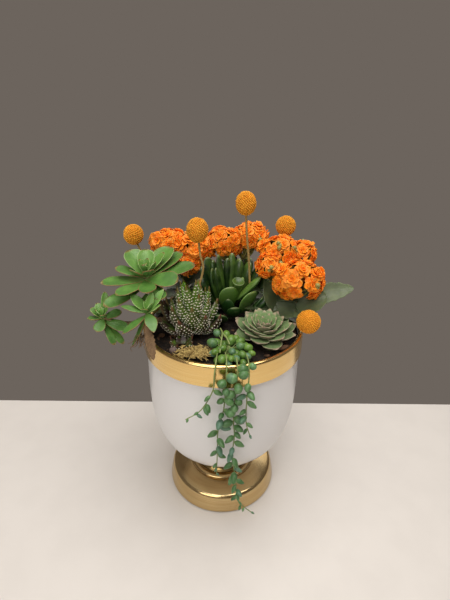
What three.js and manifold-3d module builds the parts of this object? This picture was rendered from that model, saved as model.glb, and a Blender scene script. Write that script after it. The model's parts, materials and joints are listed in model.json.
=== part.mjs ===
// A pedestal planter with a gold rim band and foot, planted with an aeonium, a zebra haworthia, an echeveria,
// a finger jade, three double kalanchoe heads, strings of pearls and five billy button flowers.
// Millimetres, +Z up. The origin is the centre of the underside of the foot, and -Y is the front.
import * as THREE from "three";
import { mergeVertices } from "three/addons/utils/BufferGeometryUtils.js";
import Module from "manifold-3d";

const wasm = await Module();
wasm.setup();

// ---------------------------------------------------------------- driving dimensions
const GAP = 0.3; // air between pieces that touch
const RIM_Z = 218; // table to the top of the rolled rim
const BAND_RADIUS = 84;
const BAND_BOTTOM_Z = 194.5;
const LIP_Z = 214; // where the bowl's own wall ends, under the rolled rim
const WALL_RADIUS = 81; // bowl's outside just under the band
const WALL_TOP_Z = 195.4; // the curved part of the bowl starts here
const WALL = 2; // spun sheet metal
const BOWL_FLOOR_Z = 58;
const NECK_RADIUS = 27;
const NECK_BOTTOM_Z = 29.3;
const COLLAR_BOTTOM_Z = 26;
const FOOT_TOP_Z = 25.7;
const FOOT_RADIUS = 64.6;
const PAD_THICKNESS = 1.2;
const PAD_RADIUS = 62;
const BOLT_RADIUS = 3;
const SOIL_EDGE_Z = 208; // soil level at the wall
const SOIL_MOUND = 5; // how much higher it stands in the middle
const ROUND = 28; // segments round the pot

const COLOURS = {
  enamel: [0xe9e7e3, 0.25, 0.0],
  gold: [0xcaa052, 0.28, 1.0],
  steel: [0x9a9a98, 0.4, 1.0],
  felt: [0x2c2a28, 0.95, 0.0],
  soil: [0x2b2019, 0.95, 0.0],
  moss: [0x9d8548, 0.95, 0.0],
  stone: [0x6f5d58, 0.8, 0.0],
  aeonium: [0x4f8a45, 0.5, 0.0],
  bark: [0x6e5138, 0.85, 0.0],
  withered: [0x6b5242, 0.85, 0.0],
  haworthia: [0x39452a, 0.5, 0.0],
  echeveria: [0x64795c, 0.6, 0.0],
  jade: [0x2f6a26, 0.35, 0.0],
  leaf: [0x46593d, 0.5, 0.0],
  petal: [0xf07c14, 0.6, 0.0],
  stalk: [0x6f7f45, 0.6, 0.0],
  pearl: [0x4f8f45, 0.4, 0.0],
  button: [0xe59a1d, 0.9, 0.0],
  straw: [0xa9833f, 0.7, 0.0],
};

const planter = new THREE.Group();

// ---------------------------------------------------------------- solids
const Z = (x, y, z) => new THREE.Vector3(x, y, z);
const degrees = THREE.MathUtils.degToRad;

// A geometry as a manifold solid, with its faces turned outwards.
function solid(geometry) {
  const bare = new THREE.BufferGeometry().setAttribute("position", geometry.getAttribute("position"));
  if (geometry.index) bare.setIndex(geometry.index);
  const merged = mergeVertices(bare, 1e-3);
  const triVerts = new Uint32Array(merged.index.array);
  const make = () =>
    new wasm.Manifold(
      new wasm.Mesh({ numProp: 3, vertProperties: merged.attributes.position.array, triVerts }),
    );
  const made = make();
  if (made.volume() > 0) return made;
  for (let i = 0; i < triVerts.length; i += 3) {
    [triVerts[i + 1], triVerts[i + 2]] = [triVerts[i + 2], triVerts[i + 1]];
  }
  return make();
}

// Several solids as one. The slivers and pockets of air that a union can leave are dropped.
function joined(solids) {
  const bodies = solids.reduce((whole, other) => whole.add(other)).decompose();
  return bodies.filter((body) => body.volume() > 1).reduce((whole, other) => whole.add(other));
}

// Adds a solid to the planter as a named mesh.
function piece(name, finish, made) {
  const mesh = made.getMesh();
  const count = mesh.vertProperties.length / mesh.numProp;
  const position = new Float32Array(count * 3);
  for (let i = 0; i < count; i++) {
    position.set(mesh.vertProperties.subarray(i * mesh.numProp, i * mesh.numProp + 3), i * 3);
  }
  const geometry = new THREE.BufferGeometry();
  geometry.setAttribute("position", new THREE.BufferAttribute(position, 3));
  geometry.setIndex(new THREE.BufferAttribute(new Uint32Array(mesh.triVerts), 1));
  geometry.computeVertexNormals();
  const [color, roughness, metalness] = COLOURS[finish];
  const material = new THREE.MeshStandardMaterial({ color, roughness, metalness });
  const node = new THREE.Mesh(geometry, material);
  node.name = name;
  planter.add(node);
  return made;
}

// A profile of [radius, height] pairs turned about the pot's axis; a ring's profile closes on itself.
function turned(profile, segments = ROUND) {
  const points = profile.map(([r, z]) => new THREE.Vector2(r, z));
  if (profile[0][0] > 0) points.push(points[0].clone());
  return solid(new THREE.LatheGeometry(points, segments).rotateX(Math.PI / 2));
}

// A round bar along a smooth curve.
function bar(points, radius, steps = 6, sides = 6) {
  const section = new THREE.Shape();
  for (let i = 0; i < sides; i++) {
    const a = (i / sides) * 2 * Math.PI;
    const [x, y] = [radius * Math.cos(a), radius * Math.sin(a)];
    if (i) section.lineTo(x, y);
    else section.moveTo(x, y);
  }
  section.closePath();
  const path = new THREE.CatmullRomCurve3(points.map((p) => Z(...p)));
  return solid(
    new THREE.ExtrudeGeometry(section, { steps, extrudePath: path, bevelEnabled: false }),
  );
}

function ball(centre, radii, detail = 1) {
  const [rx, ry, rz] = Array.isArray(radii) ? radii : [radii, radii, radii];
  return solid(
    new THREE.IcosahedronGeometry(1, detail).scale(rx, ry, rz).translate(...centre),
  );
}

// A fleshy leaf: a stretched sphere whose root is at the origin and whose tip points along +X. "widest" is
// where along its length it is broadest, and "curl" is how far the blade bends up by its tip, in degrees.
function leaf({ length, width, thickness, curl = 0, widest = 0.6, sides = 4, stations = 4 }) {
  const geometry = new THREE.SphereGeometry(1, sides, stations).rotateZ(-Math.PI / 2);
  const at = geometry.getAttribute("position");
  const power = Math.log(0.5) / Math.log(widest);
  const turn = degrees(curl);
  for (let i = 0; i < at.count; i++) {
    const along = ((at.getX(i) + 1) / 2) ** (1 / power);
    const side = (at.getZ(i) * width) / 2;
    const up = (at.getY(i) * thickness) / 2;
    const angle = along * turn;
    const reach = turn ? (Math.sin(angle) * length) / turn : along * length;
    const rise = turn ? ((1 - Math.cos(angle)) * length) / turn : 0;
    at.setXYZ(i, reach - up * Math.sin(angle), side, rise + up * Math.cos(angle));
  }
  return geometry;
}

// Rings of leaves round a small heart, each ring given as count, pitch above the horizontal and leaf shape.
function rosette(rings, heart, centre, lean = [0, 0]) {
  const leaves = [solid(new THREE.IcosahedronGeometry(heart, 1))];
  for (const { count, pitch, phase = 0, root = heart * 0.4, height = 0, ...shape } of rings) {
    for (let i = 0; i < count; i++) {
      const blade = leaf(shape).rotateY(-degrees(pitch)).translate(root, 0, height);
      leaves.push(solid(blade.rotateZ(degrees(phase) + (i / count) * 2 * Math.PI)));
    }
  }
  return joined(leaves).rotate([lean[0], lean[1], 0]).translate(centre);
}

// ---------------------------------------------------------------- planter
// Outside radius of the bowl at a share of the way down from under the band to its floor.
function bowlRadius(share) {
  return (WALL_RADIUS + 4.9 * share) * (1 - share ** 3.34) ** (1 / 3.8);
}

const BOWL_DEPTH = 138; // the wall's curve would close this far below its start
const BOWL_STATIONS = [0, 0.22, 0.44, 0.6, 0.72, 0.82, 0.895, 0.95, 0.985];
const bowlWall = BOWL_STATIONS.map((s) => [bowlRadius(s), WALL_TOP_Z - BOWL_DEPTH * s]);
// The wall's profile moved inwards by a distance, from the floor up.
const insideWall = (inset) => bowlWall.map(([r, z]) => [r - inset, Math.max(z, BOWL_FLOOR_Z + inset)]).reverse();

const HOLE = BOLT_RADIUS + 0.4;

piece(
  "bowl_shell",
  "enamel",
  turned([
    [HOLE, BOWL_FLOOR_Z],
    [NECK_RADIUS + 4, BOWL_FLOOR_Z],
    ...[...bowlWall].reverse(),
    [WALL_RADIUS, LIP_Z],
    [WALL_RADIUS - WALL, LIP_Z],
    ...insideWall(WALL).reverse(),
    [HOLE, BOWL_FLOOR_Z + WALL],
  ]),
);
piece(
  "rim_band",
  "gold",
  turned([
    [WALL_RADIUS + 0.4, BAND_BOTTOM_Z],
    [BAND_RADIUS, BAND_BOTTOM_Z],
    [BAND_RADIUS, LIP_Z + 1],
    [BAND_RADIUS - 1, RIM_Z - 0.9],
    [BAND_RADIUS - 3, RIM_Z],
    [BAND_RADIUS - 4.8, RIM_Z - 0.8],
    [BAND_RADIUS - 5.4, LIP_Z + 0.5],
    [WALL_RADIUS + 0.4, LIP_Z + 0.5],
  ]),
);
piece(
  "neck_spool",
  "gold",
  turned([
    [HOLE, NECK_BOTTOM_Z],
    [NECK_RADIUS + 6, NECK_BOTTOM_Z],
    [NECK_RADIUS + 1.5, NECK_BOTTOM_Z + 3],
    [NECK_RADIUS, NECK_BOTTOM_Z + 9],
    [NECK_RADIUS, BOWL_FLOOR_Z - 8],
    [NECK_RADIUS + 3, BOWL_FLOOR_Z - GAP],
    [HOLE, BOWL_FLOOR_Z - GAP],
  ]),
);
piece(
  "foot_collar",
  "gold",
  turned([
    [HOLE, COLLAR_BOTTOM_Z],
    [39.6, COLLAR_BOTTOM_Z],
    [38.6, COLLAR_BOTTOM_Z + 2.2],
    [36, NECK_BOTTOM_Z - GAP],
    [HOLE, NECK_BOTTOM_Z - GAP],
  ]),
);
const FOOT_BOTTOM_Z = PAD_THICKNESS + GAP;
const PLATE = 2; // thickness of the spun metal foot
piece(
  "pedestal_foot",
  "gold",
  turned([
    [HOLE, FOOT_TOP_Z - PLATE],
    [38, FOOT_TOP_Z - PLATE - 0.4],
    [57.4, 19.4],
    [59.2, 16.6],
    [FOOT_RADIUS - PLATE, FOOT_BOTTOM_Z],
    [FOOT_RADIUS, FOOT_BOTTOM_Z],
    [61.6, 17.6],
    [60.8, 20.2],
    [58.8, 21.9],
    [40, FOOT_TOP_Z - 0.2],
    [HOLE, FOOT_TOP_Z],
  ]),
);
piece(
  "base_pad",
  "felt",
  turned([
    [0, 0],
    [PAD_RADIUS, 0],
    [PAD_RADIUS, PAD_THICKNESS],
    [0, PAD_THICKNESS],
  ]),
);

const BOLT_TOP_Z = 70;
const HEAD_TOP_Z = FOOT_TOP_Z - PLATE - GAP;
const WASHER_Z = BOWL_FLOOR_Z + WALL + GAP;
const NUT_Z = WASHER_Z + 1.5 + GAP;
piece(
  "tie_bolt",
  "steel",
  turned(
    [
      [0, HEAD_TOP_Z - 4],
      [5.5, HEAD_TOP_Z - 4],
      [5.5, HEAD_TOP_Z],
      [BOLT_RADIUS, HEAD_TOP_Z],
      [BOLT_RADIUS, BOLT_TOP_Z],
      [0, BOLT_TOP_Z],
    ],
    6,
  ),
);
piece(
  "bolt_washer",
  "steel",
  turned([[HOLE, WASHER_Z], [9, WASHER_Z], [9, WASHER_Z + 1.5], [HOLE, WASHER_Z + 1.5]], 16),
);
piece("bolt_nut", "steel", turned([[HOLE, NUT_Z], [5.8, NUT_Z], [5.8, NUT_Z + 5], [HOLE, NUT_Z + 5]], 6));

// ---------------------------------------------------------------- plants' places
// Where each plant enters the soil: x, y, radius of its root neck.
const ROOTS = {
  aeonium: [-55, -8, 6],
  haworthia: [-32, -14, 7],
  echeveria: [41, -24, 6],
  jade: [8, 20, 6],
  kalanchoe_left: [-42, 46, 4],
  kalanchoe_middle: [14, 54, 4],
  kalanchoe_right: [54, 18, 4],
  pearls: [9, -58, 4],
};
const ROOT_DEPTH = 14; // how far a root neck goes below the soil's edge level

const soilZ = (x, y) => SOIL_EDGE_Z + SOIL_MOUND * (1 - (x * x + y * y) / 78 ** 2);

// ---------------------------------------------------------------- billy buttons
// Flower head centre and radii, then the stalk's line from the head down into the soil.
const BUTTONS = [
  { head: [20, 5, 341], radii: [9.6, 9.6, 11.3], stalk: [[21, 5, 329], [25, 6, 282], [28, 9, 240], [29, 11, 192]] },
  { head: [-25.5, -5, 317.5], radii: [10.4, 10.4, 11.9], stalk: [[-24.5, -5, 305], [-20.5, -5, 279], [-25, -7, 258], [-28, -9, 230], [-29, -10, 192]] },
  { head: [-95.7, 36, 300.2], radii: [10.3, 10.3, 10.8], stalk: [[-92.8, 36.5, 290], [-84, 37, 268], [-68, 36, 235], [-58, 30, 192]] },
  { head: [66, 50, 307.5], radii: [10.6, 10.6, 10.8], stalk: [[64, 50.5, 296.5], [56, 53, 262], [50, 54, 225], [48, 54, 192]] },
  { head: [84.4, -25, 231.3], radii: [11.9, 11.9, 11.9], stalk: [[80.4, -15.5, 224.2], [76.5, -6, 221.5], [71, 4, 216], [68, 9, 192]] },
];
const STALK_RADIUS = 1.1;
const sockets = [];
BUTTONS.forEach(({ head, radii, stalk }, i) => {
  piece(`billy_button_head_${i + 1}`, "button", ball(head, radii));
  piece(`billy_button_stalk_${i + 1}`, "straw", bar(stalk, STALK_RADIUS, 6, 5));
  sockets.push(bar(stalk, STALK_RADIUS + 0.5, 6, 6));
});

// ---------------------------------------------------------------- zebra haworthia
const haworthiaLeaf = { width: 9.5, thickness: 5.5, widest: 0.42 };
const haworthia = rosette(
  [
    { count: 8, pitch: 16, length: 33, curl: 55, ...haworthiaLeaf },
    { count: 7, pitch: 36, length: 37, curl: 46, phase: 20, ...haworthiaLeaf },
    { count: 6, pitch: 60, length: 39, curl: 26, phase: 8, ...haworthiaLeaf },
    { count: 3, pitch: 80, length: 38, curl: 8, phase: 30, ...haworthiaLeaf },
  ],
  7.5,
  [ROOTS.haworthia[0], ROOTS.haworthia[1], 219.5],
);

// ---------------------------------------------------------------- echeveria
const echeveriaLeaf = { width: 17, thickness: 4.6, widest: 0.66, curl: 26 };
const echeveria = rosette(
  [
    { count: 8, pitch: 2, length: 31, ...echeveriaLeaf },
    { count: 7, pitch: 20, length: 26, phase: 21, height: 2, ...echeveriaLeaf },
    { count: 5, pitch: 40, length: 20, phase: 5, height: 3, ...echeveriaLeaf, width: 13 },
    { count: 3, pitch: 62, length: 13, phase: 30, height: 4, ...echeveriaLeaf, width: 9 },
  ],
  5.5,
  [ROOTS.echeveria[0], ROOTS.echeveria[1], 219.5],
  [8, 0],
);

// ---------------------------------------------------------------- aeonium
const aeoniumLeaf = { width: 21, thickness: 3.6, widest: 0.7, curl: 12 };
const aeoniumTop = rosette(
  [
    { count: 8, pitch: -6, length: 41, ...aeoniumLeaf },
    { count: 7, pitch: 16, length: 33, phase: 24, height: 2, ...aeoniumLeaf },
    { count: 5, pitch: 44, length: 22, phase: 10, height: 3, ...aeoniumLeaf, width: 15 },
    { count: 3, pitch: 66, length: 13, phase: 40, height: 4, ...aeoniumLeaf, width: 10 },
  ],
  5,
  [-76, -8, 277],
  [14, -8],
);
const aeoniumLeft = rosette(
  [
    { count: 6, pitch: 4, length: 19, ...aeoniumLeaf, width: 11, thickness: 3 },
    { count: 5, pitch: 34, length: 13, phase: 30, ...aeoniumLeaf, width: 9, thickness: 3 },
  ],
  3.4,
  [-119, -27, 238],
  [40, -25],
);
const aeoniumMiddle = rosette(
  [
    { count: 6, pitch: -2, length: 25, ...aeoniumLeaf, width: 10, thickness: 3, widest: 0.55 },
    { count: 4, pitch: 38, length: 17, phase: 25, ...aeoniumLeaf, width: 8, thickness: 3, widest: 0.55 },
  ],
  3.4,
  [-71, -42, 246],
  [30, -12],
);
const aeoniumStem = joined([
  bar([[-55, -8, SOIL_EDGE_Z - ROOT_DEPTH], [-57, -8, 222], [-66, -8, 245], [-74.5, -8, 269.5]], 3.2, 6),
  bar([[-60, -9, 228], [-80, -19, 228], [-98, -23.5, 229], [-113.8, -25, 234.6]], 2.2, 5),
  bar([[-58, -10, 224], [-64, -24, 230], [-69.4, -37.6, 240.8]], 2.2, 4),
]);

// ---------------------------------------------------------------- finger jade
// Each leaf: where its foot is, which way it points (bearing and pitch), and its length and width.
const JADE_LEAVES = [
  [8, 20, 240, 100, 78, 36, 8],
  [12, 21, 240, 60, 70, 34, 8],
  [2, 19, 236, 150, 62, 34, 9],
  [-2, 17, 232, 185, 48, 26, 11],
  [10, 16, 238, 320, 72, 32, 8],
  [16, 16, 236, 350, 38, 38, 8],
  [16, 22, 238, 25, 58, 34, 10],
  [6, 14, 230, 262, 38, 27, 15],
  [15, 13, 230, 296, 32, 25, 14],
  [12, 25, 236, 70, 50, 30, 10],
];
const jade = joined([
  bar([[8, 20, SOIL_EDGE_Z - ROOT_DEPTH], [8.5, 19.5, 226], [9, 19, 244]], 5.2, 3),
  ...JADE_LEAVES.flatMap(([x, y, z, bearing, pitch, length, width]) => [
    bar([[8.5, 19.2, z - 5], [x, y, z]], 2.4, 1),
    solid(
      leaf({ length: length + 5, width, thickness: 7, widest: 0.62, curl: 10, sides: 5 })
        .translate(-5, 0, 0)
        .rotateY(-degrees(pitch))
        .rotateZ(degrees(bearing))
        .translate(x, y, z),
    ),
  ]),
]);

// ---------------------------------------------------------------- kalanchoe
// Florets stand on a dome over a stalk; each head is one inflorescence, with the lower leaves of its plant.
function kalanchoeHead(centre, radii, count, leaves, foot, seed) {
  const solids = [
    bar([foot, [foot[0], foot[1], foot[2] + 20], [centre[0], centre[1], centre[2] - radii[2] * 0.4]], 2.6, 4),
    ball([centre[0], centre[1], centre[2] - radii[2] * 0.1], radii.map((r) => r * 0.72), 1),
    ...leaves.map(([bearing, pitch, length, height]) =>
      solid(
        leaf({ length, width: length * 0.62, thickness: 4, widest: 0.55, curl: -20 })
          .rotateY(-degrees(pitch))
          .rotateZ(degrees(bearing))
          .translate(foot[0], foot[1], foot[2] + height),
      ),
    ),
  ];
  const golden = Math.PI * (3 - Math.sqrt(5));
  for (let i = 0; i < count; i++) {
    const height = 0.98 - (i / (count - 1)) * 1.05;
    const flat = Math.sqrt(1 - height * height);
    const angle = seed + i * golden;
    const at = [flat * Math.cos(angle), flat * Math.sin(angle), height];
    solids.push(
      ball(
        at.map((n, k) => centre[k] + n * (radii[k] - 8.5)),
        [11, 11, 9],
        0,
      ),
    );
  }
  return joined(solids);
}
const HEADS = {
  kalanchoe_left: {
    centre: [-46, 51, 279],
    radii: [35, 23, 28],
    count: 13,
    leaves: [[150, 30, 46, 24], [95, 24, 40, 26], [40, 34, 34, 27], [215, 40, 24, 25]],
  },
  kalanchoe_middle: {
    centre: [20, 57, 288],
    radii: [29, 22, 22],
    count: 10,
    leaves: [[125, 26, 38, 25], [70, 30, 40, 27], [180, 30, 30, 27], [300, 44, 24, 27]],
  },
  kalanchoe_right: {
    centre: [70, 12, 273],
    radii: [37, 27, 30],
    count: 14,
    leaves: [[60, 26, 40, 28], [20, 34, 36, 30], [110, 30, 30, 27]],
  },
};

// A scalloped kalanchoe leaf: a thick blade along +X, cupped about its midrib.
function kalanchoeLeaf(length, width, foot, bearing, pitch, roll, thickness = 2.2) {
  const outline = new THREE.Shape();
  outline.moveTo(0, -1.6);
  outline.bezierCurveTo(length * 0.25, -width * 0.6, length * 0.8, -width * 0.62, length, 0);
  outline.bezierCurveTo(length * 0.8, width * 0.62, length * 0.25, width * 0.6, 0, 1.6);
  outline.closePath();
  const blade = new THREE.ExtrudeGeometry(outline, { depth: thickness, bevelEnabled: false, curveSegments: 4 });
  blade.translate(0, 0, -thickness / 2).rotateX(degrees(roll)).rotateY(-degrees(pitch));
  return solid(blade.rotateZ(degrees(bearing)).translate(...foot));
}
const KALANCHOE_LEAVES = {
  kalanchoe_leaf_far_right: [64, 27, [78, 10, 233], 8, 20, 55],
  kalanchoe_leaf_right: [46, 28, [63, -3, 236], -4, 14, 56],
  kalanchoe_leaf_centre: [30, 24, [56, 4, 237], 250, 24, 8],
  kalanchoe_leaf_notch: [36, 17, [43, 32, 246], 100, 76, 70],
};

// ---------------------------------------------------------------- strings of pearls
// Each string: its line over the rim and down, and how many pearls it carries.
const STRINGS = {
  pearl_string_long: {
    line: [[11, -71, 219], [12, -85, 223.5], [12.5, -90, 212], [10, -90, 168], [11.4, -90, 144], [10, -90, 118], [14, -90, 83], [17, -90, 54], [32, -90, 35.5]],
    count: 14,
    size: 4,
  },
  pearl_string_short: {
    line: [[3, -71, 219], [3, -85, 223.5], [3, -90, 212], [1, -90, 176], [-4, -90, 150], [-4.6, -90, 124], [-5.4, -90, 91]],
    count: 10,
    size: 3.8,
  },
  pearl_string_left: {
    line: [[-7, -70, 220], [-7, -84.6, 224], [-7.5, -90.4, 214], [-9, -90.4, 196], [-20, -90.4, 174], [-34, -90.4, 163]],
    count: 8,
    size: 3.4,
  },
  pearl_string_right: {
    line: [[22, -71, 219], [22, -84, 223.5], [22.8, -90, 212], [21.6, -90, 188], [22, -90, 160], [27, -90, 141]],
    count: 8,
    size: 3.8,
  },
};
// Pearls sit to the left and right of the string in turn and shrink towards its tip.
function pearlString({ line, count, size }) {
  const path = new THREE.CatmullRomCurve3(line.map((p) => Z(...p)));
  const solids = [bar(line, 0.9, line.length + 4, 4)];
  for (let i = 0; i < count; i++) {
    const share = (i + 0.6) / count;
    const at = path.getPointAt(share);
    const radius = size * (1 - 0.45 * share);
    const side = (i % 2 ? 1 : -1) * radius * 0.55;
    const away = share < 0.12 ? radius * 0.4 : 0;
    solids.push(solid(new THREE.OctahedronGeometry(radius * 1.15, 0).translate(at.x + side, at.y, at.z + away)));
  }
  return joined(solids);
}

// The clump of pearls on the soil behind the rim: columns and rows of pearls on a short stem.
function pearlClump() {
  const solids = [
    bar([[9, -58, SOIL_EDGE_Z - ROOT_DEPTH], [9, -58, 218]], 2.5, 1),
    ball([8, -60.5, 217.6], [17, 8, 4], 1),
  ];
  for (let column = 0; column < 5; column++) {
    for (let row = 0; row < 2; row++) {
      const x = -6 + column * 7 + row * 3.2;
      const y = -64.4 + row * 7;
      solids.push(ball([x, y, 219.6 + (column % 2) * 1.2], 4.4, 0));
    }
  }
  return joined(solids);
}

// ---------------------------------------------------------------- soil and top dressing
const soilTop = [78, 60, 40, 20].map((r) => [r - (r === 78 ? 0.4 : 0), soilZ(r, 0)]);
const soilBody = turned([
  [0, BOLT_TOP_Z + 2],
  [11, BOLT_TOP_Z + 2],
  [11, BOWL_FLOOR_Z + WALL + GAP],
  ...insideWall(WALL + 0.4).filter((_, i) => i % 2 === 0),
  ...soilTop,
  [0, soilZ(0, 0)],
]);
const rootNecks = Object.values(ROOTS).map(([x, y, r]) =>
  bar([[x, y, SOIL_EDGE_Z - ROOT_DEPTH - GAP], [x, y, 216]], r + 0.6, 1, 8),
);
piece("potting_soil", "soil", joined([soilBody.subtract(joined([...rootNecks, ...sockets]))]));
piece("moss_tuft", "moss", ball([-27, -58, 216.3], [16, 9, 4.6], 1));
piece("pebble_left", "stone", ball([-46.5, -53, 214.8], [4.4, 3.6, 3.2], 0));
piece("bark_chip_right", "bark", ball([58, -46, 214.4], [6, 3, 2.2], 0));

const neckOf = ([x, y, r], top) => bar([[x, y, SOIL_EDGE_Z - ROOT_DEPTH], [x, y, top]], r, 1, 8);
piece(
  "haworthia_rosette",
  "haworthia",
  joined([haworthia, neckOf(ROOTS.haworthia, 219)]).subtract(bar(BUTTONS[1].stalk, STALK_RADIUS + 0.6, 6, 6)),
);
piece("echeveria_rosette", "echeveria", joined([echeveria, neckOf(ROOTS.echeveria, 219)]));
piece("aeonium_rosette_top", "aeonium", aeoniumTop);
piece("aeonium_rosette_left", "aeonium", aeoniumLeft);
piece("aeonium_rosette_middle", "aeonium", aeoniumMiddle);
piece("aeonium_stem", "bark", aeoniumStem);
piece("finger_jade", "jade", jade);
for (const [name, { centre, radii, count, leaves }] of Object.entries(HEADS)) {
  const [x, y] = ROOTS[name];
  const foot = [x, y, SOIL_EDGE_Z - ROOT_DEPTH];
  piece(`${name}_flowers`, "petal", kalanchoeHead(centre, radii, count, leaves, foot, x));
}
for (const [name, shape] of Object.entries(KALANCHOE_LEAVES)) {
  piece(name, "leaf", kalanchoeLeaf(...shape));
}
piece("pearl_clump", "pearl", pearlClump());
for (const [name, string] of Object.entries(STRINGS)) {
  piece(name, "pearl", pearlString(string));
}

export default planter;
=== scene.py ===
"""Looks of a potted succulent arrangement: a white pedestal planter with gold metal, and the plants in it.

Lengths are in millimetres and angles in degrees until a mesh is made, which turns them to metres.
The origin is the centre of the underside of the foot, +Z is up and -Y is the front.
"""

from __future__ import annotations

import json
import logging
import math
import random
from dataclasses import dataclass, field, replace
from enum import Enum

import bpy
import numpy as np
from mathutils import Matrix, Vector

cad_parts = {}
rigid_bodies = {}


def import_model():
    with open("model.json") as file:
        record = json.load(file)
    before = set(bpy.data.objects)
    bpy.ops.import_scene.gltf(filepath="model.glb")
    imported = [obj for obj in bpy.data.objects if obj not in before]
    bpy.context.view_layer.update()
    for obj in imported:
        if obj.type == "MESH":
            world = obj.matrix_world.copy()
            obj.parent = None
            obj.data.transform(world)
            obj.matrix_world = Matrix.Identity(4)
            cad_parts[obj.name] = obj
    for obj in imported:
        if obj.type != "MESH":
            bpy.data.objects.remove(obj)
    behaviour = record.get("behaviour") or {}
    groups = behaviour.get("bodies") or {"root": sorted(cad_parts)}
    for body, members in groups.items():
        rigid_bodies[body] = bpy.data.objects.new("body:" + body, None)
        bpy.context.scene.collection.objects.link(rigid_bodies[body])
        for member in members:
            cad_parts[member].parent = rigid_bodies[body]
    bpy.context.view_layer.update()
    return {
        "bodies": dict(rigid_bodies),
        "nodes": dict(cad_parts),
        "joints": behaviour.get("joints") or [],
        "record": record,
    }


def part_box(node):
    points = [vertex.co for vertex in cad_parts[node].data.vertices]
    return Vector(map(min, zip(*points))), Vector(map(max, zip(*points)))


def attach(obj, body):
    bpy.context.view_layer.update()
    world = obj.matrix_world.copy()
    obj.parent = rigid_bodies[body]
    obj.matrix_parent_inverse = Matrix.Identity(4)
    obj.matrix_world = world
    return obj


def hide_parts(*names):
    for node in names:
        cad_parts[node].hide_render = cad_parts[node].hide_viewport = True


LOG = logging.getLogger("planter")
MM = 0.001
GOLDEN_ANGLE = 137.508
VALUES = ("along", "edge", "top", "tone")  # what each mesh point knows about its place on its leaf


# ---------------------------------------------------------------- colour and nodes


def linear(code: str) -> tuple[float, float, float, float]:
    """Turns an sRGB hex colour to linear RGBA.

    Args:
        code: The colour, such as "#c9a05a".

    Returns:
        The colour's four linear channels.
    """
    channels = [int(code[i : i + 2], 16) / 255 for i in (1, 3, 5)]
    turned = [c / 12.92 if c <= 0.04045 else ((c + 0.055) / 1.055) ** 2.4 for c in channels]
    return (turned[0], turned[1], turned[2], 1.0)


def add_node(
    tree: bpy.types.NodeTree,
    kind: str,
    settings: dict | None = None,
    links: dict | None = None,
) -> bpy.types.Node:
    """Adds a node with its settings and links.

    Args:
        tree: The material's node tree.
        kind: The node's type, without its "ShaderNode" prefix.
        settings: Property or input socket, and its value. "stops" fills a colour ramp.
        links: Input socket, and the output socket that feeds it.

    Returns:
        The new node.
    """
    node = tree.nodes.new("ShaderNode" + kind)
    for key, value in (settings or {}).items():
        if key == "stops":
            while len(node.color_ramp.elements) < len(value):
                node.color_ramp.elements.new(0.5)
            for element, (position, code) in zip(node.color_ramp.elements, value, strict=True):
                element.position = position
                element.color = linear(code) if isinstance(code, str) else (code, code, code, 1.0)
        elif isinstance(key, str) and hasattr(node, key):
            setattr(node, key, value)
        else:
            node.inputs[key].default_value = linear(value) if isinstance(value, str) else value
    for key, source in (links or {}).items():
        tree.links.new(source, node.inputs[key])
    return node


def per_metre(size_mm: float) -> float:
    """Returns the texture scale whose features are that many millimetres apart."""
    return 1.0 / (size_mm * MM)


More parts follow.
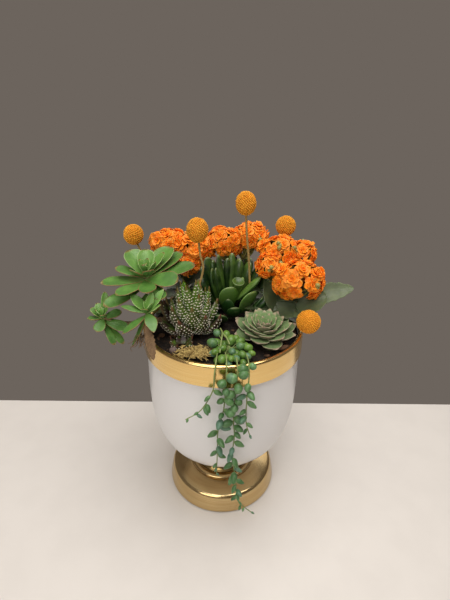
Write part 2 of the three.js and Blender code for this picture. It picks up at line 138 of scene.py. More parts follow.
class Surface:
    """A material being put together: its tree, its shader and the places that its patterns read."""

    def __init__(self, name: str, **shader: float | str | tuple) -> None:
        """Starts a material.

        Args:
            name: The finish's name.
            **shader: Principled sockets, with underscores for spaces, and their even values.
        """
        self.material = bpy.data.materials.new(name)
        self.material.use_nodes = True
        self.tree = self.material.node_tree
        self.tree.nodes.clear()
        settings = {key.replace("_", " "): value for key, value in shader.items()}
        self.shader = add_node(self.tree, "BsdfPrincipled", settings)
        self.place = add_node(self.tree, "TexCoord").outputs["Object"]
        add_node(self.tree, "OutputMaterial", links={"Surface": self.shader.outputs["BSDF"]})

    def value(self, name: str) -> bpy.types.NodeSocket:
        """Returns the output that gives a mesh value, such as how far along its leaf a point is."""
        return add_node(self.tree, "Attribute", {"attribute_name": name}).outputs["Fac"]

    def math(self, operation: str, *parts: float | bpy.types.NodeSocket) -> bpy.types.NodeSocket:
        """Does a sum on numbers or sockets.

        Args:
            operation: The Math node's operation.
            *parts: Its two or three operands.

        Returns:
            The result's socket.
        """
        numbers = {i: p for i, p in enumerate(parts) if not isinstance(p, bpy.types.NodeSocket)}
        sockets = {i: p for i, p in enumerate(parts) if isinstance(p, bpy.types.NodeSocket)}
        return add_node(self.tree, "Math", {"operation": operation, **numbers}, sockets).outputs[0]

    def between(
        self,
        source: bpy.types.NodeSocket,
        low: float,
        high: float,
        to_low: float = 0.0,
        to_high: float = 1.0,
    ) -> bpy.types.NodeSocket:
        """Carries a value smoothly from one range to another.

        Args:
            source: The value.
            low: Where the source's range starts.
            high: Where it ends.
            to_low: The result at low.
            to_high: The result at high.

        Returns:
            The result's socket.
        """
        settings = {"interpolation_type": "SMOOTHSTEP", 1: low, 2: high, 3: to_low, 4: to_high}
        return add_node(self.tree, "MapRange", settings, {0: source}).outputs[0]

    def blend(
        self,
        share: float | bpy.types.NodeSocket,
        first: str | bpy.types.NodeSocket,
        second: str | bpy.types.NodeSocket,
    ) -> bpy.types.NodeSocket:
        """Mixes two colours.

        Args:
            share: How much of the second shows.
            first: A hex colour or a colour socket.
            second: The other one.

        Returns:
            The mixed colour's socket.
        """
        node = {"data_type": "RGBA"}
        links = {}
        for index, part in ((0, share), (6, first), (7, second)):
            if isinstance(part, bpy.types.NodeSocket):
                links[index] = part
            else:
                node[index] = part
        return add_node(self.tree, "Mix", node, links).outputs[2]

    def noise(
        self,
        size_mm: float,
        detail: float = 3.0,
        stretch: tuple[float, float, float] = (1, 1, 1),
    ) -> bpy.types.NodeSocket:
        """Makes a cloudy pattern.

        Args:
            size_mm: How far apart its clouds are.
            detail: How many finer layers it has.
            stretch: How much the pattern is squeezed along X, Y and Z.

        Returns:
            The pattern's socket, from 0 to 1.
        """
        place = add_node(self.tree, "Mapping", {"Scale": stretch}, {"Vector": self.place}).outputs[0]
        settings = {"Scale": per_metre(size_mm), "Detail": detail}
        return add_node(self.tree, "TexNoise", settings, {"Vector": place}).outputs[0]

    def cells(self, size_mm: float) -> bpy.types.NodeSocket:
        """Returns the distance to the nearest of scattered points that are size_mm apart."""
        settings = {"Scale": per_metre(size_mm)}
        return add_node(self.tree, "TexVoronoi", settings, {"Vector": self.place}).outputs["Distance"]

    def colour(self, source: bpy.types.NodeSocket) -> None:
        """Feeds the base colour."""
        self.tree.links.new(source, self.shader.inputs["Base Color"])

    def roughness(self, source: bpy.types.NodeSocket) -> None:
        """Feeds the roughness."""
        self.tree.links.new(source, self.shader.inputs["Roughness"])

    def relief(self, height: bpy.types.NodeSocket, depth_mm: float, strength: float = 1.0) -> None:
        """Feeds the normal from a height.

        Args:
            height: The height pattern, from 0 to 1.
            depth_mm: How deep it is.
            strength: How much of it shows.
        """
        settings = {"Strength": strength, "Distance": depth_mm * MM}
        bump = add_node(self.tree, "Bump", settings, {"Height": height})
        self.tree.links.new(bump.outputs[0], self.shader.inputs["Normal"])


# ---------------------------------------------------------------- finishes of the planter


@dataclass(frozen=True)
class SatinEnamel:
    """Stoved enamel over spun metal: white and smooth, with a soft sheen that is a little uneven."""

    body: str = "#e6e5e5"
    dusty: str = "#dcdbdb"

    def make(self) -> bpy.types.Material:
        """Returns the material."""
        s = Surface("satin_enamel", IOR=1.5, Roughness=0.3, Coat_Weight=0.35, Coat_Roughness=0.16)
        cloud = s.noise(110, 1)
        s.colour(s.blend(s.between(cloud, 0.35, 0.8, 0, 0.6), self.body, self.dusty))
        s.roughness(s.between(cloud, 0.2, 0.8, 0.3, 0.36))
        return s.material


@dataclass(frozen=True)
class BrushedGold:
    """Lacquered brass-coloured metal, brushed round the pot.

    It gives the eye a near mirror, with fine lines that stretch each highlight.
    """

    name: str = "brushed_gold"
    bright: str = "#f2d290"
    deep: str = "#ebc681"
    worn: str = "#b07a44"
    smooth: float = 0.15
    rough: float = 0.24
    line_mm: float = 0.9  # real brush lines are 0.1 mm apart; these are as coarse as shows
    wear: float = 0.12

    def make(self) -> bpy.types.Material:
        """Returns the material."""
        s = Surface(self.name, Metallic=1.0, Roughness=self.smooth)
        lines = s.noise(self.line_mm, 2, (0.02, 0.02, 1.0))
        cloud = s.noise(26, 3)
        tint = s.blend(s.between(lines, 0.3, 0.7), self.deep, self.bright)
        stain = s.between(s.noise(11, 5), 0.6, 0.8, 0, self.wear)
        s.colour(s.blend(stain, tint, self.worn))
        wide = s.math("MULTIPLY_ADD", s.between(cloud, 0.3, 0.75), 0.6, s.math("MULTIPLY", lines, 0.4))
        s.roughness(s.between(wide, 0.1, 0.8, self.smooth, self.rough))
        s.relief(lines, 0.002, 0.15)
        return s.material


@dataclass(frozen=True)
class Felt:
    """Pressed dark felt: matt, with short fibres."""

    def make(self) -> bpy.types.Material:
        """Returns the material."""
        s = Surface("pressed_felt", Roughness=0.95, Sheen_Weight=0.4, Sheen_Roughness=0.5)
        s.colour(s.blend(s.noise(1.2, 4), "#24211f", "#3a3633"))
        s.relief(s.noise(0.5, 3), 0.2)
        return s.material


@dataclass(frozen=True)
class ZincSteel:
    """Zinc-plated steel: dull grey with a spangle of lighter patches."""

    def make(self) -> bpy.types.Material:
        """Returns the material."""
        s = Surface("zinc_steel", Metallic=1.0, Roughness=0.4)
        s.colour(s.blend(s.cells(2.0), "#8e9092", "#b9bab8"))
        s.roughness(s.between(s.noise(3, 3), 0.3, 0.7, 0.32, 0.5))
        return s.material


# ---------------------------------------------------------------- finishes of what grows


@dataclass(frozen=True)
class LeafSkin:
    """Living leaf skin: a waxy, faintly translucent green, with its own margin, tip and underside."""

    name: str
    body: str
    deep: str
    under: str
    margin: str
    margin_old: str = ""  # the margin of an old leaf, where it differs
    margin_from: float = 0.9  # share of the half width where the margin's colour starts
    margin_share: float = 0.8
    tip: str = "#7a3b32"
    tip_from: float = 0.9
    tip_share: float = 0.5
    root: str = "#8aa35c"
    root_to: float = 0.25
    root_share: float = 0.4
    mottle_mm: float = 5.0
    mottle: float = 0.5  # how much of the deep colour its clouds bring
    shade: float = 0.55  # how much of it a leaf's own shade brings
    grain_mm: float = 0.7
    grain_depth_mm: float = 0.05
    rough: float = 0.42
    wax: float = 0.15
    glow: float = 0.18
    aged: str = "#6d5a3c"
    aged_share: float = 0.0

    def make(self) -> bpy.types.Material:
        """Returns the material."""
        s = Surface(
            self.name,
            IOR=1.42,
            Roughness=self.rough,
            Coat_Weight=self.wax,
            Coat_Roughness=0.25,
            Subsurface_Weight=self.glow,
            Subsurface_Radius=(0.0012, 0.0022, 0.0006),
            Subsurface_Scale=1.0,
        )
        tone = s.value("tone")
        along = s.value("along")
        cloud = s.noise(self.mottle_mm, 4)
        depth = s.math(
            "ADD", s.math("MULTIPLY", tone, self.shade), s.between(cloud, 0.3, 0.7, 0, self.mottle)
        )
        skin = s.blend(depth, self.body, self.deep)
        skin = s.blend(s.between(s.value("top"), 0.35, 0.65, 0.75, 0), skin, self.under)
        skin = s.blend(s.between(along, 0.0, self.root_to, self.root_share, 0), skin, self.root)
        if self.aged_share:
            old = s.math(
                "MULTIPLY", s.between(tone, 0.6, 1.0), s.between(cloud, 0.25, 0.6, 0, self.aged_share)
            )
            skin = s.blend(old, skin, self.aged)
        rim = s.between(s.value("edge"), self.margin_from, 1.0, 0, self.margin_share)
        edge = s.blend(s.between(tone, 0.45, 0.85), self.margin, self.margin_old or self.margin)
        skin = s.blend(rim, skin, edge)
        end = s.between(
            s.math("ADD", along, s.math("MULTIPLY", cloud, 0.06)), self.tip_from, 1.02, 0, self.tip_share
        )
        s.colour(s.blend(end, skin, self.tip))
        s.roughness(s.between(s.noise(3.0, 3), 0.3, 0.7, self.rough - 0.08, self.rough + 0.1))
        s.relief(s.noise(self.grain_mm, 2), self.grain_depth_mm, 0.6)
        return s.material


@dataclass(frozen=True)
class PetalSkin:
    """Soft petal tissue: saturated, matt, glowing where the light comes through."""

    name: str = "kalanchoe_petal"
    body: str = "#ff9c22"
    # deep: a deeper orange for painted shade on the undersides and inner whorls, mixed with random clouds
    # of tone.
    deep: str = "#fb7f10"
    pale: str = "#ffb54c"
    # heart: a darker orange at the petal bases, painted shade in the middle of each floret.
    heart: str = "#ea780e"

    def make(self) -> bpy.types.Material:
        """Returns the material."""
        s = Surface(
            self.name,
            IOR=1.4,
            Roughness=0.55,
            Subsurface_Weight=0.1,
            Subsurface_Radius=(0.0016, 0.0010, 0.0003),
            Subsurface_Scale=1.0,
        )
        depth = s.math(
            "ADD", s.math("MULTIPLY", s.value("tone"), 0.6), s.between(s.noise(3, 3), 0.3, 0.7, 0, 0.4)
        )
        skin = s.blend(depth, self.body, self.deep)
        skin = s.blend(s.between(s.value("edge"), 0.6, 1.0, 0, 0.6), skin, self.pale)
        # Painted shade: the petal bases darken towards the heart colour, and the undersides towards the
        # deep orange.
        skin = s.blend(s.between(s.value("along"), 0.05, 0.6, 0.9, 0), skin, self.heart)
        skin = s.blend(s.between(s.value("top"), 0.35, 0.65, 0.4, 0), skin, self.deep)
        s.colour(skin)
        s.relief(s.noise(0.6, 2, (1, 1, 1)), 0.05, 0.5)
        return s.material


@dataclass(frozen=True)
class DryFibre:
    """Dead or woody plant fibre: matt, streaked along its length, with no shine."""

    name: str
    body: str
    deep: str
    grain_mm: float = 0.8
    patch_mm: float = 7.0
    depth_mm: float = 0.25
    rough: float = 0.82

    def make(self) -> bpy.types.Material:
        """Returns the material."""
        s = Surface(self.name, IOR=1.45, Roughness=self.rough)
        mixed = s.math(
            "ADD",
            s.math("MULTIPLY", s.value("tone"), 0.5),
            s.between(s.noise(self.patch_mm, 5), 0.3, 0.7, 0, 0.5),
        )
        fine = s.between(s.noise(self.grain_mm, 4), 0.35, 0.65)
        s.colour(
            s.blend(
                s.math("MULTIPLY_ADD", fine, 0.35, s.math("MULTIPLY", mixed, 0.65)), self.body, self.deep
            )
        )
        s.relief(s.noise(self.grain_mm, 5), self.depth_mm)
        return s.material


@dataclass(frozen=True)
class Crumb:
    """Loose matter such as peat: very dark, dull, crumbly, with lighter specks."""

    name: str = "potting_soil"
    body: str = "#0f0b08"
    light: str = "#2a1f16"
    speck: str = "#4c3a28"
    crumb_mm: float = 1.6

    def make(self) -> bpy.types.Material:
        """Returns the material."""
        s = Surface(self.name, IOR=1.4, Roughness=0.92)
        mixed = s.blend(s.between(s.noise(self.crumb_mm * 2, 6), 0.35, 0.7), self.body, self.light)
        s.colour(s.blend(s.between(s.noise(self.crumb_mm, 3), 0.62, 0.72, 0, 0.8), mixed, self.speck))
        s.relief(s.noise(self.crumb_mm, 6), 1.2)
        return s.material


# ---------------------------------------------------------------- meshes


def smooth_step(share: np.ndarray) -> np.ndarray:
    """Returns an even share from 0 to 1 eased at both ends."""
    share = np.clip(share, 0, 1)
    return share * share * (3 - 2 * share)


def spline(points: list[tuple[float, float, float]], count: int) -> np.ndarray:
    """Evenly spaced points on a smooth curve.

    Args:
        points: What the curve goes through.
        count: How many points to return.

    Returns:
        An array of count rows of X, Y and Z.
    """
    given = np.array(points, float)
    ends = np.vstack([2 * given[0] - given[1], given, 2 * given[-1] - given[-2]])
    dense = []
    for i in range(len(given) - 1):
        a, b, c, d = ends[i : i + 4]
        t = np.linspace(0, 1, 24, endpoint=False)[:, None]
        dense.append(
            0.5
            * (2 * b + (c - a) * t + (2 * a - 5 * b + 4 * c - d) * t**2 + (3 * b - a - 3 * c + d) * t**3)
        )
    line = np.vstack([*dense, given[-1:]])
    run = np.concatenate([[0], np.cumsum(np.linalg.norm(np.diff(line, axis=0), axis=1))])
    even = np.linspace(0, run[-1], count)
    return np.stack([np.interp(even, run, line[:, k]) for k in range(3)], 1)


def turn(bearing: float = 0.0, pitch: float = 0.0, roll: float = 0.0) -> np.ndarray:
    """A rotation: roll about +X, then pitch up, then bearing round +Z.

    Args:
        bearing: Degrees anticlockwise from +X seen from above.
        pitch: Degrees above the horizontal.
        roll: Degrees about its own length.

    Returns:
        A 3 by 3 matrix.
    """
    spun = Matrix.Rotation(math.radians(bearing), 3, "Z") @ Matrix.Rotation(math.radians(-pitch), 3, "Y")
    return np.array(spun @ Matrix.Rotation(math.radians(roll), 3, "X"))


def upright_to(direction: np.ndarray) -> np.ndarray:
    """Returns the rotation that carries +Z to a direction."""
    return np.array(Vector((0, 0, 1)).rotation_difference(Vector(direction)).to_matrix())


def inside(node: str, x: float = 0.5, y: float = 0.5, z: float = 0.5) -> np.ndarray:
    """A point of a CAD node's box.

    Args:
        node: The node's name.
        x: How far across the box the point is, where 0 is the left side and 1 the right.
        y: How far back it is.
        z: How far up it is.

    Returns:
        The point's X, Y and Z in millimetres.
    """
    low, high = (np.array(corner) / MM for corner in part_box(node))
    return low + (high - low) * (x, y, z)


def half_size(node: str) -> np.ndarray:
    """Returns half a CAD node's size along X, Y and Z, in millimetres."""
    return inside(node, 1, 1, 1) - inside(node)


class Shells:
    """Closed shells gathered into one mesh, with the values that their finish reads."""

    def __init__(self) -> None:
        """Starts with nothing."""
        self.points: list[np.ndarray] = []
        self.faces: list[np.ndarray] = []
        self.fans: list[np.ndarray] = []
        self.values: dict[str, list[np.ndarray]] = {name: [] for name in VALUES}
        self.count = 0

    def grid(self, rows: np.ndarray, closed: bool = True, **values: float | np.ndarray) -> None:
        """Adds a shell made of rings of points, closed at each end by a point.

        Args:
            rows: Rings of points: ring, place round the ring, and X, Y, Z.
            closed: Whether the ends are closed; a ring of rings joins its last to its first.
            **values: A number, or one for each point of the grid.
        """
        n, m = rows.shape[:2]
        index = np.arange(n * m).reshape(n, m) + self.count
        following = index if not closed else index[:-1]
        ahead = np.roll(index, -1, 0) if not closed else index[1:]
        quads = np.stack([following, np.roll(following, -1, 1), np.roll(ahead, -1, 1), ahead], -1)
        self.faces.append(quads.reshape(-1, 4))
        total = n * m
        self.points.append(rows.reshape(-1, 3))
        if closed:
            first, last = self.count + total, self.count + total + 1
            self.points.append(np.stack([rows[0].mean(0), rows[-1].mean(0)]))
            self.fans.append(np.stack([np.full(m, first), np.roll(index[0], -1), index[0]], -1))
            self.fans.append(np.stack([np.full(m, last), index[-1], np.roll(index[-1], -1)], -1))
            total += 2
        for name in VALUES:
            value = np.broadcast_to(np.asarray(values.get(name, 0.5), float), (n, m))
            ends = [value[0].mean(), value[-1].mean()] if closed else []
            self.values[name].append(np.concatenate([value.ravel(), ends]))
        self.count += total

    def tube(
        self,
        line: np.ndarray,
        radii: float | np.ndarray,
        sides: int = 8,
        **values: float | np.ndarray,
    ) -> None:
        """Adds a round bar along a line.

        Args:
            line: Points along its middle.
            radii: Its radius, or one for each point.
            sides: Points round it.
            **values: Values for the finish.
        """
        ahead = np.gradient(line, axis=0)
        ahead /= np.linalg.norm(ahead, axis=1, keepdims=True)
        side = np.cross(ahead[0], (0.31, 0.52, 0.79))
        across = []
        for direction in ahead:
            side = side - direction * (side @ direction)
            side = side / np.linalg.norm(side)
            across.append(side)
        across = np.array(across)
        other = np.cross(ahead, across)
        angle = np.arange(sides) / sides * 2 * math.pi
        radii = np.broadcast_to(radii, len(line))[:, None, None]
        ring = across[:, None] * np.cos(angle)[None, :, None] + other[:, None] * np.sin(angle)[
            None, :, None
        ]
        share = np.linspace(0, 1, len(line))[:, None] * np.ones((1, sides))
        self.grid(line[:, None] + radii * ring, **{"along": share, "top": 1.0, **values})

    def ball(
        self,
        centre: np.ndarray,
        radii: tuple[float, float, float],
        spin: np.ndarray,
        rings: int = 7,
        sides: int = 10,
        point: float = 0.0,
        **values: float,
    ) -> None:
        """Adds a stretched ball whose +Z end may be drawn out to a point.

        Args:
            centre: Its middle.
            radii: Half its size along its own X, Y and Z.
            spin: Its rotation.
            rings: Rings from end to end.
            sides: Points round each ring.
            point: How much of a point its +Z end has, as a share of its radius.
            **values: Values for the finish.
        """
        polar = np.linspace(0, math.pi, rings + 2)[1:-1][:, None]
        angle = np.arange(sides)[None, :] / sides * 2 * math.pi
        flat = np.sin(polar) * np.ones_like(angle)
        up = -np.cos(polar) * np.ones_like(angle)
        drawn = np.clip(up, 0, 1) ** 3 * point
        rows = np.stack(
            [
                flat * np.cos(angle) * (1 - 0.35 * drawn),
                flat * np.sin(angle) * (1 - 0.35 * drawn),
                up + drawn,
            ],
            -1,
        )
        share = (up + 1) / 2
        self.grid((rows * np.array(radii)) @ spin.T + centre, **{"along": share, "top": 1.0, **values})

    def piece(
        self,
        name: str,
        material: bpy.types.Material,
        slot: str,
        nodes: tuple[str, ...] = (),
        smooth: bool = True,
    ) -> bpy.types.Object:
        """Makes the mesh object and hands it to the frame.

        Args:
            name: The piece's name.
            material: Its finish.
            slot: The record's material slot; not used.
            nodes: The CAD nodes that it stands for.
            smooth: Whether its faces are shaded as one surface.

        Returns:
            The object.
        """
        mesh = bpy.data.meshes.new(name)
        points = np.vstack(self.points) * MM
        faces = [tuple(f) for part in self.faces for f in part.tolist()]
        faces += [tuple(f) for part in self.fans for f in part.tolist()]
        mesh.from_pydata(points.tolist(), [], faces)
        mesh.materials.append(material)
        for key, parts in self.values.items():
            layer = mesh.attributes.new(key, "FLOAT", "POINT")
            layer.data.foreach_set("value", np.concatenate(parts).astype(np.float32))
        mesh.polygons.foreach_set("use_smooth", [smooth] * len(mesh.polygons))
        mesh.update()
        made = bpy.data.objects.new(name, mesh)
        bpy.context.scene.collection.objects.link(made)
        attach(made, "root")
        if nodes:
            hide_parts(*nodes)
        LOG.info("%s: %d faces", name, len(mesh.polygons))
        return made


@dataclass(frozen=True)
class Blade:
    """The shape of one fleshy leaf or petal, its root at the origin and its length along +X."""

    length: float
    width: float
    thickness: float
    widest: float = 0.6  # share of the length where it is broadest
    root: float = 0.3  # its width at the root, as a share of the widest
    round_tip: float = 2.0  # 2 ends round, 1 ends in a point
    curl: float = 0.0  # degrees that it turns up on its way to the tip
    bend: float = 1.0  # above 1 the turning comes late
    cup: float = 0.0  # how far the margins stand above the middle, as a share of the half width
    keel: float = 0.0  # how much deeper the underside is than the top, from 0 to 1
    spike: float = 0.0  # length of the small point on the tip
    wave: float = 0.0  # how far the margin goes up and down
    waves: float = 3.0
    notches: float = 0.0  # depth of the scallops along the margin
    teeth: float = 7.0
    sweep: float = 0.0  # degrees that it turns sideways
    twist: float = 0.0  # degrees that it rolls on its way to the tip
    stations: int = 14
    sides: int = 14

    def outline(self, t: np.ndarray) -> np.ndarray:
        """Half widths of the blade.

        Args:
            t: Shares of the length.

        Returns:
            The half width at each.
        """
        rise = np.clip(t / self.widest, 0, 1)
        up = self.root + (1 - self.root) * np.sin(rise * math.pi / 2) ** 1.2
        fall = np.clip((t - self.widest) / (1 - self.widest), 0, 1)
        down = (1 - fall ** (0.6 + 0.7 * self.round_tip)) ** (1 / self.round_tip)
        half = np.where(t < self.widest, up, down) * self.width / 2
        if self.notches:
            half = half - self.notches * (
                0.5 + 0.5 * np.cos(t * self.teeth * 2 * math.pi)
            ) * np.sin(math.pi * t) ** 0.5
        return np.maximum(half, 0.02)

    def surface(self, t: np.ndarray, angle: np.ndarray, grown: float = 0.0) -> np.ndarray:
        """Points of the skin.

        Args:
            t: Shares of the length.
            angle: Places round the section in radians: 0 is a margin, a quarter turn the top's middle.
            grown: How far outside the skin the points are.

        Returns:
            X, Y and Z of each.
        """
        fine = np.linspace(0, 1, 60)
        rise = np.radians(self.curl) * fine**self.bend
        aside = np.radians(self.sweep) * fine
        step = self.length / 59
        along = np.concatenate([[0], np.cumsum(np.cos(rise[:-1]) * np.cos(aside[:-1]) * step)])
        lift = np.concatenate([[0], np.cumsum(np.sin(rise[:-1]) * step)])
        drift = np.concatenate([[0], np.cumsum(np.sin(aside[:-1]) * np.cos(rise[:-1]) * step)])
        x, y, z, tilt, yaw = (np.interp(t, fine, line) for line in (along, drift, lift, rise, aside))
        half = self.outline(t) + grown
        body = self.thickness / 2 * np.sqrt(np.clip(1 - t**6, 0, 1)) * (
            0.45 + 0.55 * self.outline(t) * 2 / self.width
        ) + grown
        across, up = np.cos(angle), np.sin(angle)
        depth = np.where(up > 0, 1 - self.keel, 1 + self.keel)
        ripple = self.wave * np.abs(across) ** 3 * np.sin(
            t * self.waves * 2 * math.pi + np.sign(across)
        ) * t
        height = up * body * depth + self.cup * half * across**2 + ripple
        roll = np.radians(self.twist) * t
        flat = across * half
        flat, height = (
            flat * np.cos(roll) - height * np.sin(roll),
            flat * np.sin(roll) + height * np.cos(roll),
        )
        beak = np.where(t > 0.985, self.spike, 0.0)
        reach = beak - height * np.sin(tilt)
        return np.stack(
            [
                x + reach * np.cos(yaw) - flat * np.sin(yaw),
                y + flat * np.cos(yaw) + reach * np.sin(yaw),
                z + height * np.cos(tilt) + beak * np.sin(tilt),
            ],
            -1,
        )

    def add_to(self, shells: Shells, root: np.ndarray, spin: np.ndarray, tone: float = 0.5) -> None:
        """Adds the blade to a set of shells.

        Args:
            shells: Where it goes.
            root: Where its root is.
            spin: Its rotation.
            tone: Its own shade, from 0 to 1.
        """
        share = np.linspace(0, 1, self.stations)
        t = (0.5 - 0.5 * np.cos(share * math.pi)) * 0.4 + share * 0.6
        t = np.clip(t, 0.0, 0.995)[:, None] * np.ones((1, self.sides))
        angle = np.ones((self.stations, 1)) * (np.arange(self.sides) / self.sides * 2 * math.pi)[None, :]
        rows = self.surface(t, angle) @ spin.T + root
        shells.grid(rows, along=t, edge=np.abs(np.cos(angle)), top=(np.sin(angle) + 1) / 2, tone=tone)


def turned(profile: list[tuple[float, float]], segments: int = 160) -> Shells:
    """A closed profile turned about the pot's axis.

    Args:
        profile: Radius and height of each corner, going round the section.
        segments: Points round the pot.

    Returns:
        The shell.
    """
    angle = np.arange(segments) / segments * 2 * math.pi
    section = np.array(profile, float)
    rows = np.stack(
        [
            section[:, :1] * np.cos(angle),
            section[:, :1] * np.sin(angle),
            section[:, 1:] * np.ones_like(angle),
        ],
        -1,
    )
    made = Shells()
    made.grid(rows, closed=bool(section[0, 0] < 1e-6))
    return made


def rounded(corners: list[tuple[float, float, float]], steps: int = 5) -> list[tuple[float, float]]:
    """A closed profile whose corners are rounded.

    Args:
        corners: Radius, height and rounding of each corner.
        steps: Points on each rounding.

    Returns:
        The profile's radius and height pairs.
    """
    made = []
    for i, (r, z, cut) in enumerate(corners):
        here = np.array((r, z))
        if cut <= 0:
            made.append((r, z))
            continue
        before, after = np.array(corners[i - 1][:2]) - here, np.array(
            corners[(i + 1) % len(corners)][:2]
        ) - here
        start = here + before / np.linalg.norm(before) * min(cut, np.linalg.norm(before) * 0.49)
        end = here + after / np.linalg.norm(after) * min(cut, np.linalg.norm(after) * 0.49)
        for k in range(steps + 1):
            t = k / steps
            made.append(tuple((1 - t) ** 2 * start + 2 * t * (1 - t) * here + t**2 * end))
    return made


# ---------------------------------------------------------------- planter


@dataclass
class Planter:
    """The pedestal planter: enamelled bowl, gold rim band, neck, collar and foot."""

    wall_radius: float = 81.0
    wall_top: float = 195.4
    bowl_depth: float = 138.0
    bowl_floor: float = 58.0
    wall: float = 2.0
    hole: float = 3.5
    lip: float = 214.0
    enamel: SatinEnamel = field(default_factory=SatinEnamel)

    def bowl_radius(self, share: float) -> float:
        """Returns the bowl's outside radius at a share of its depth."""
        return (self.wall_radius + 4.9 * share) * (1 - share**3.34) ** (1 / 3.8)

    def bowl(self) -> bpy.types.Object:
        """Makes the enamelled bowl.

        Returns:
            The bowl.
        """
        shares = [
            0,
            0.1,
            0.2,
            0.3,
            0.4,
            0.5,
            0.58,
            0.65,
            0.71,
            0.76,
            0.81,
            0.85,
            0.885,
            0.915,
            0.94,
            0.96,
            0.975,
            0.987,
        ]
        outside = [(self.bowl_radius(s), self.wall_top - self.bowl_depth * s) for s in shares]
        inside = [(r - self.wall, max(z, self.bowl_floor + self.wall)) for r, z in outside]
        profile = [(self.hole, self.bowl_floor), (31.0, self.bowl_floor), *reversed(outside)]
        profile += [(self.wall_radius, self.lip), (self.wall_radius - self.wall, self.lip), *inside]
        profile += [(self.hole, self.bowl_floor + self.wall)]
        return turned(profile, 192).piece("enamelled_bowl", self.enamel.make(), "enamel", ("bowl_shell",))

    def band(self) -> bpy.types.Object:
        """Makes the rim band: a flat hoop whose top is rolled inwards.

        Returns:
            The band.
        """
        profile = rounded(
            [
                (81.4, 194.5, 0.2),
                (84.0, 194.5, 0.5),
                (84.0, 216.4, 1.6),
                (82.6, 218.0, 1.6),
                (80.0, 218.0, 1.2),
                (78.6, 216.2, 1.0),
                (78.8, 214.4, 0.3),
                (81.4, 214.4, 0.0),
            ],
            6,
        )
        gold = BrushedGold()
        return turned(profile, 192).piece("rim_hoop", gold.make(), "gold", ("rim_band",))

    def foot(self) -> list[bpy.types.Object]:
        """Makes the neck, the collar, the spun foot and its pad.

        Returns:
            The four pieces.
        """
        spun = BrushedGold("spun_gold", "#d6bd8c", "#c8ab78", "#a06c3c", 0.14, 0.24, 1.4, 0.3).make()
        # The neck's gold is painted darker than the foot's: painted shade and painted dark reflection on
        # the polished neck in the shadow under the bowl.
        shaded = BrushedGold("neck_gold_painted_shade", "#a8905f", "#8f7648", "#7a5630", 0.16, 0.26, 1.4, 0.3).make()
        neck = rounded(
            [
                (3.5, 29.3, 0),
                (33.0, 29.3, 0.8),
                (29.6, 31.6, 3),
                (27.4, 38.0, 6),
                (27.0, 46.0, 6),
                (28.2, 53.0, 5),
                (30.6, 57.7, 0.5),
                (3.5, 57.7, 0),
            ]
        )
        collar = rounded(
            [(3.5, 26.0, 0), (39.6, 26.0, 0.4), (39.3, 27.6, 1.6), (36.4, 29.0, 1.2), (3.5, 29.0, 0)]
        )
        foot = rounded(
            [
                (3.5, 23.7, 0),
                (38.0, 23.3, 2),
                (57.2, 19.4, 3),
                (59.4, 16.8, 1),
                (62.6, 1.5, 0.3),
                (64.6, 1.5, 0.5),
                (64.3, 4.2, 1.5),
                (61.4, 18.8, 2.2),
                (59.3, 21.8, 2.4),
                (56.0, 22.6, 1.6),
                (40.0, 25.6, 1.5),
                (3.5, 25.7, 0),
            ],
            6,
        )
        pad = rounded([(0, 0, 0), (62.0, 0, 0.3), (62.0, 1.2, 0.3), (0, 1.2, 0)])
        return [
            turned(neck).piece("gold_neck", shaded, "gold", ("neck_spool",)),
            turned(collar).piece("gold_collar", spun, "gold", ("foot_collar",)),
            turned(foot, 192).piece("spun_foot", spun, "gold", ("pedestal_foot",)),
            turned(pad, 96).piece("felt_pad", Felt().make(), "felt", ("base_pad",)),
        ]

    def build(self, nodes: dict[str, bpy.types.Object]) -> None:
        """Makes the whole planter.

        Args:
            nodes: The CAD nodes, of which the tie bolt, its washer and its nut keep their shape.
        """
        self.bowl()
        self.band()
        self.foot()
        steel = ZincSteel().make()
        for name in ("tie_bolt", "bolt_washer", "bolt_nut"):
            nodes[name].data.materials.clear()
            nodes[name].data.materials.append(steel)


# ---------------------------------------------------------------- soil and top dressing


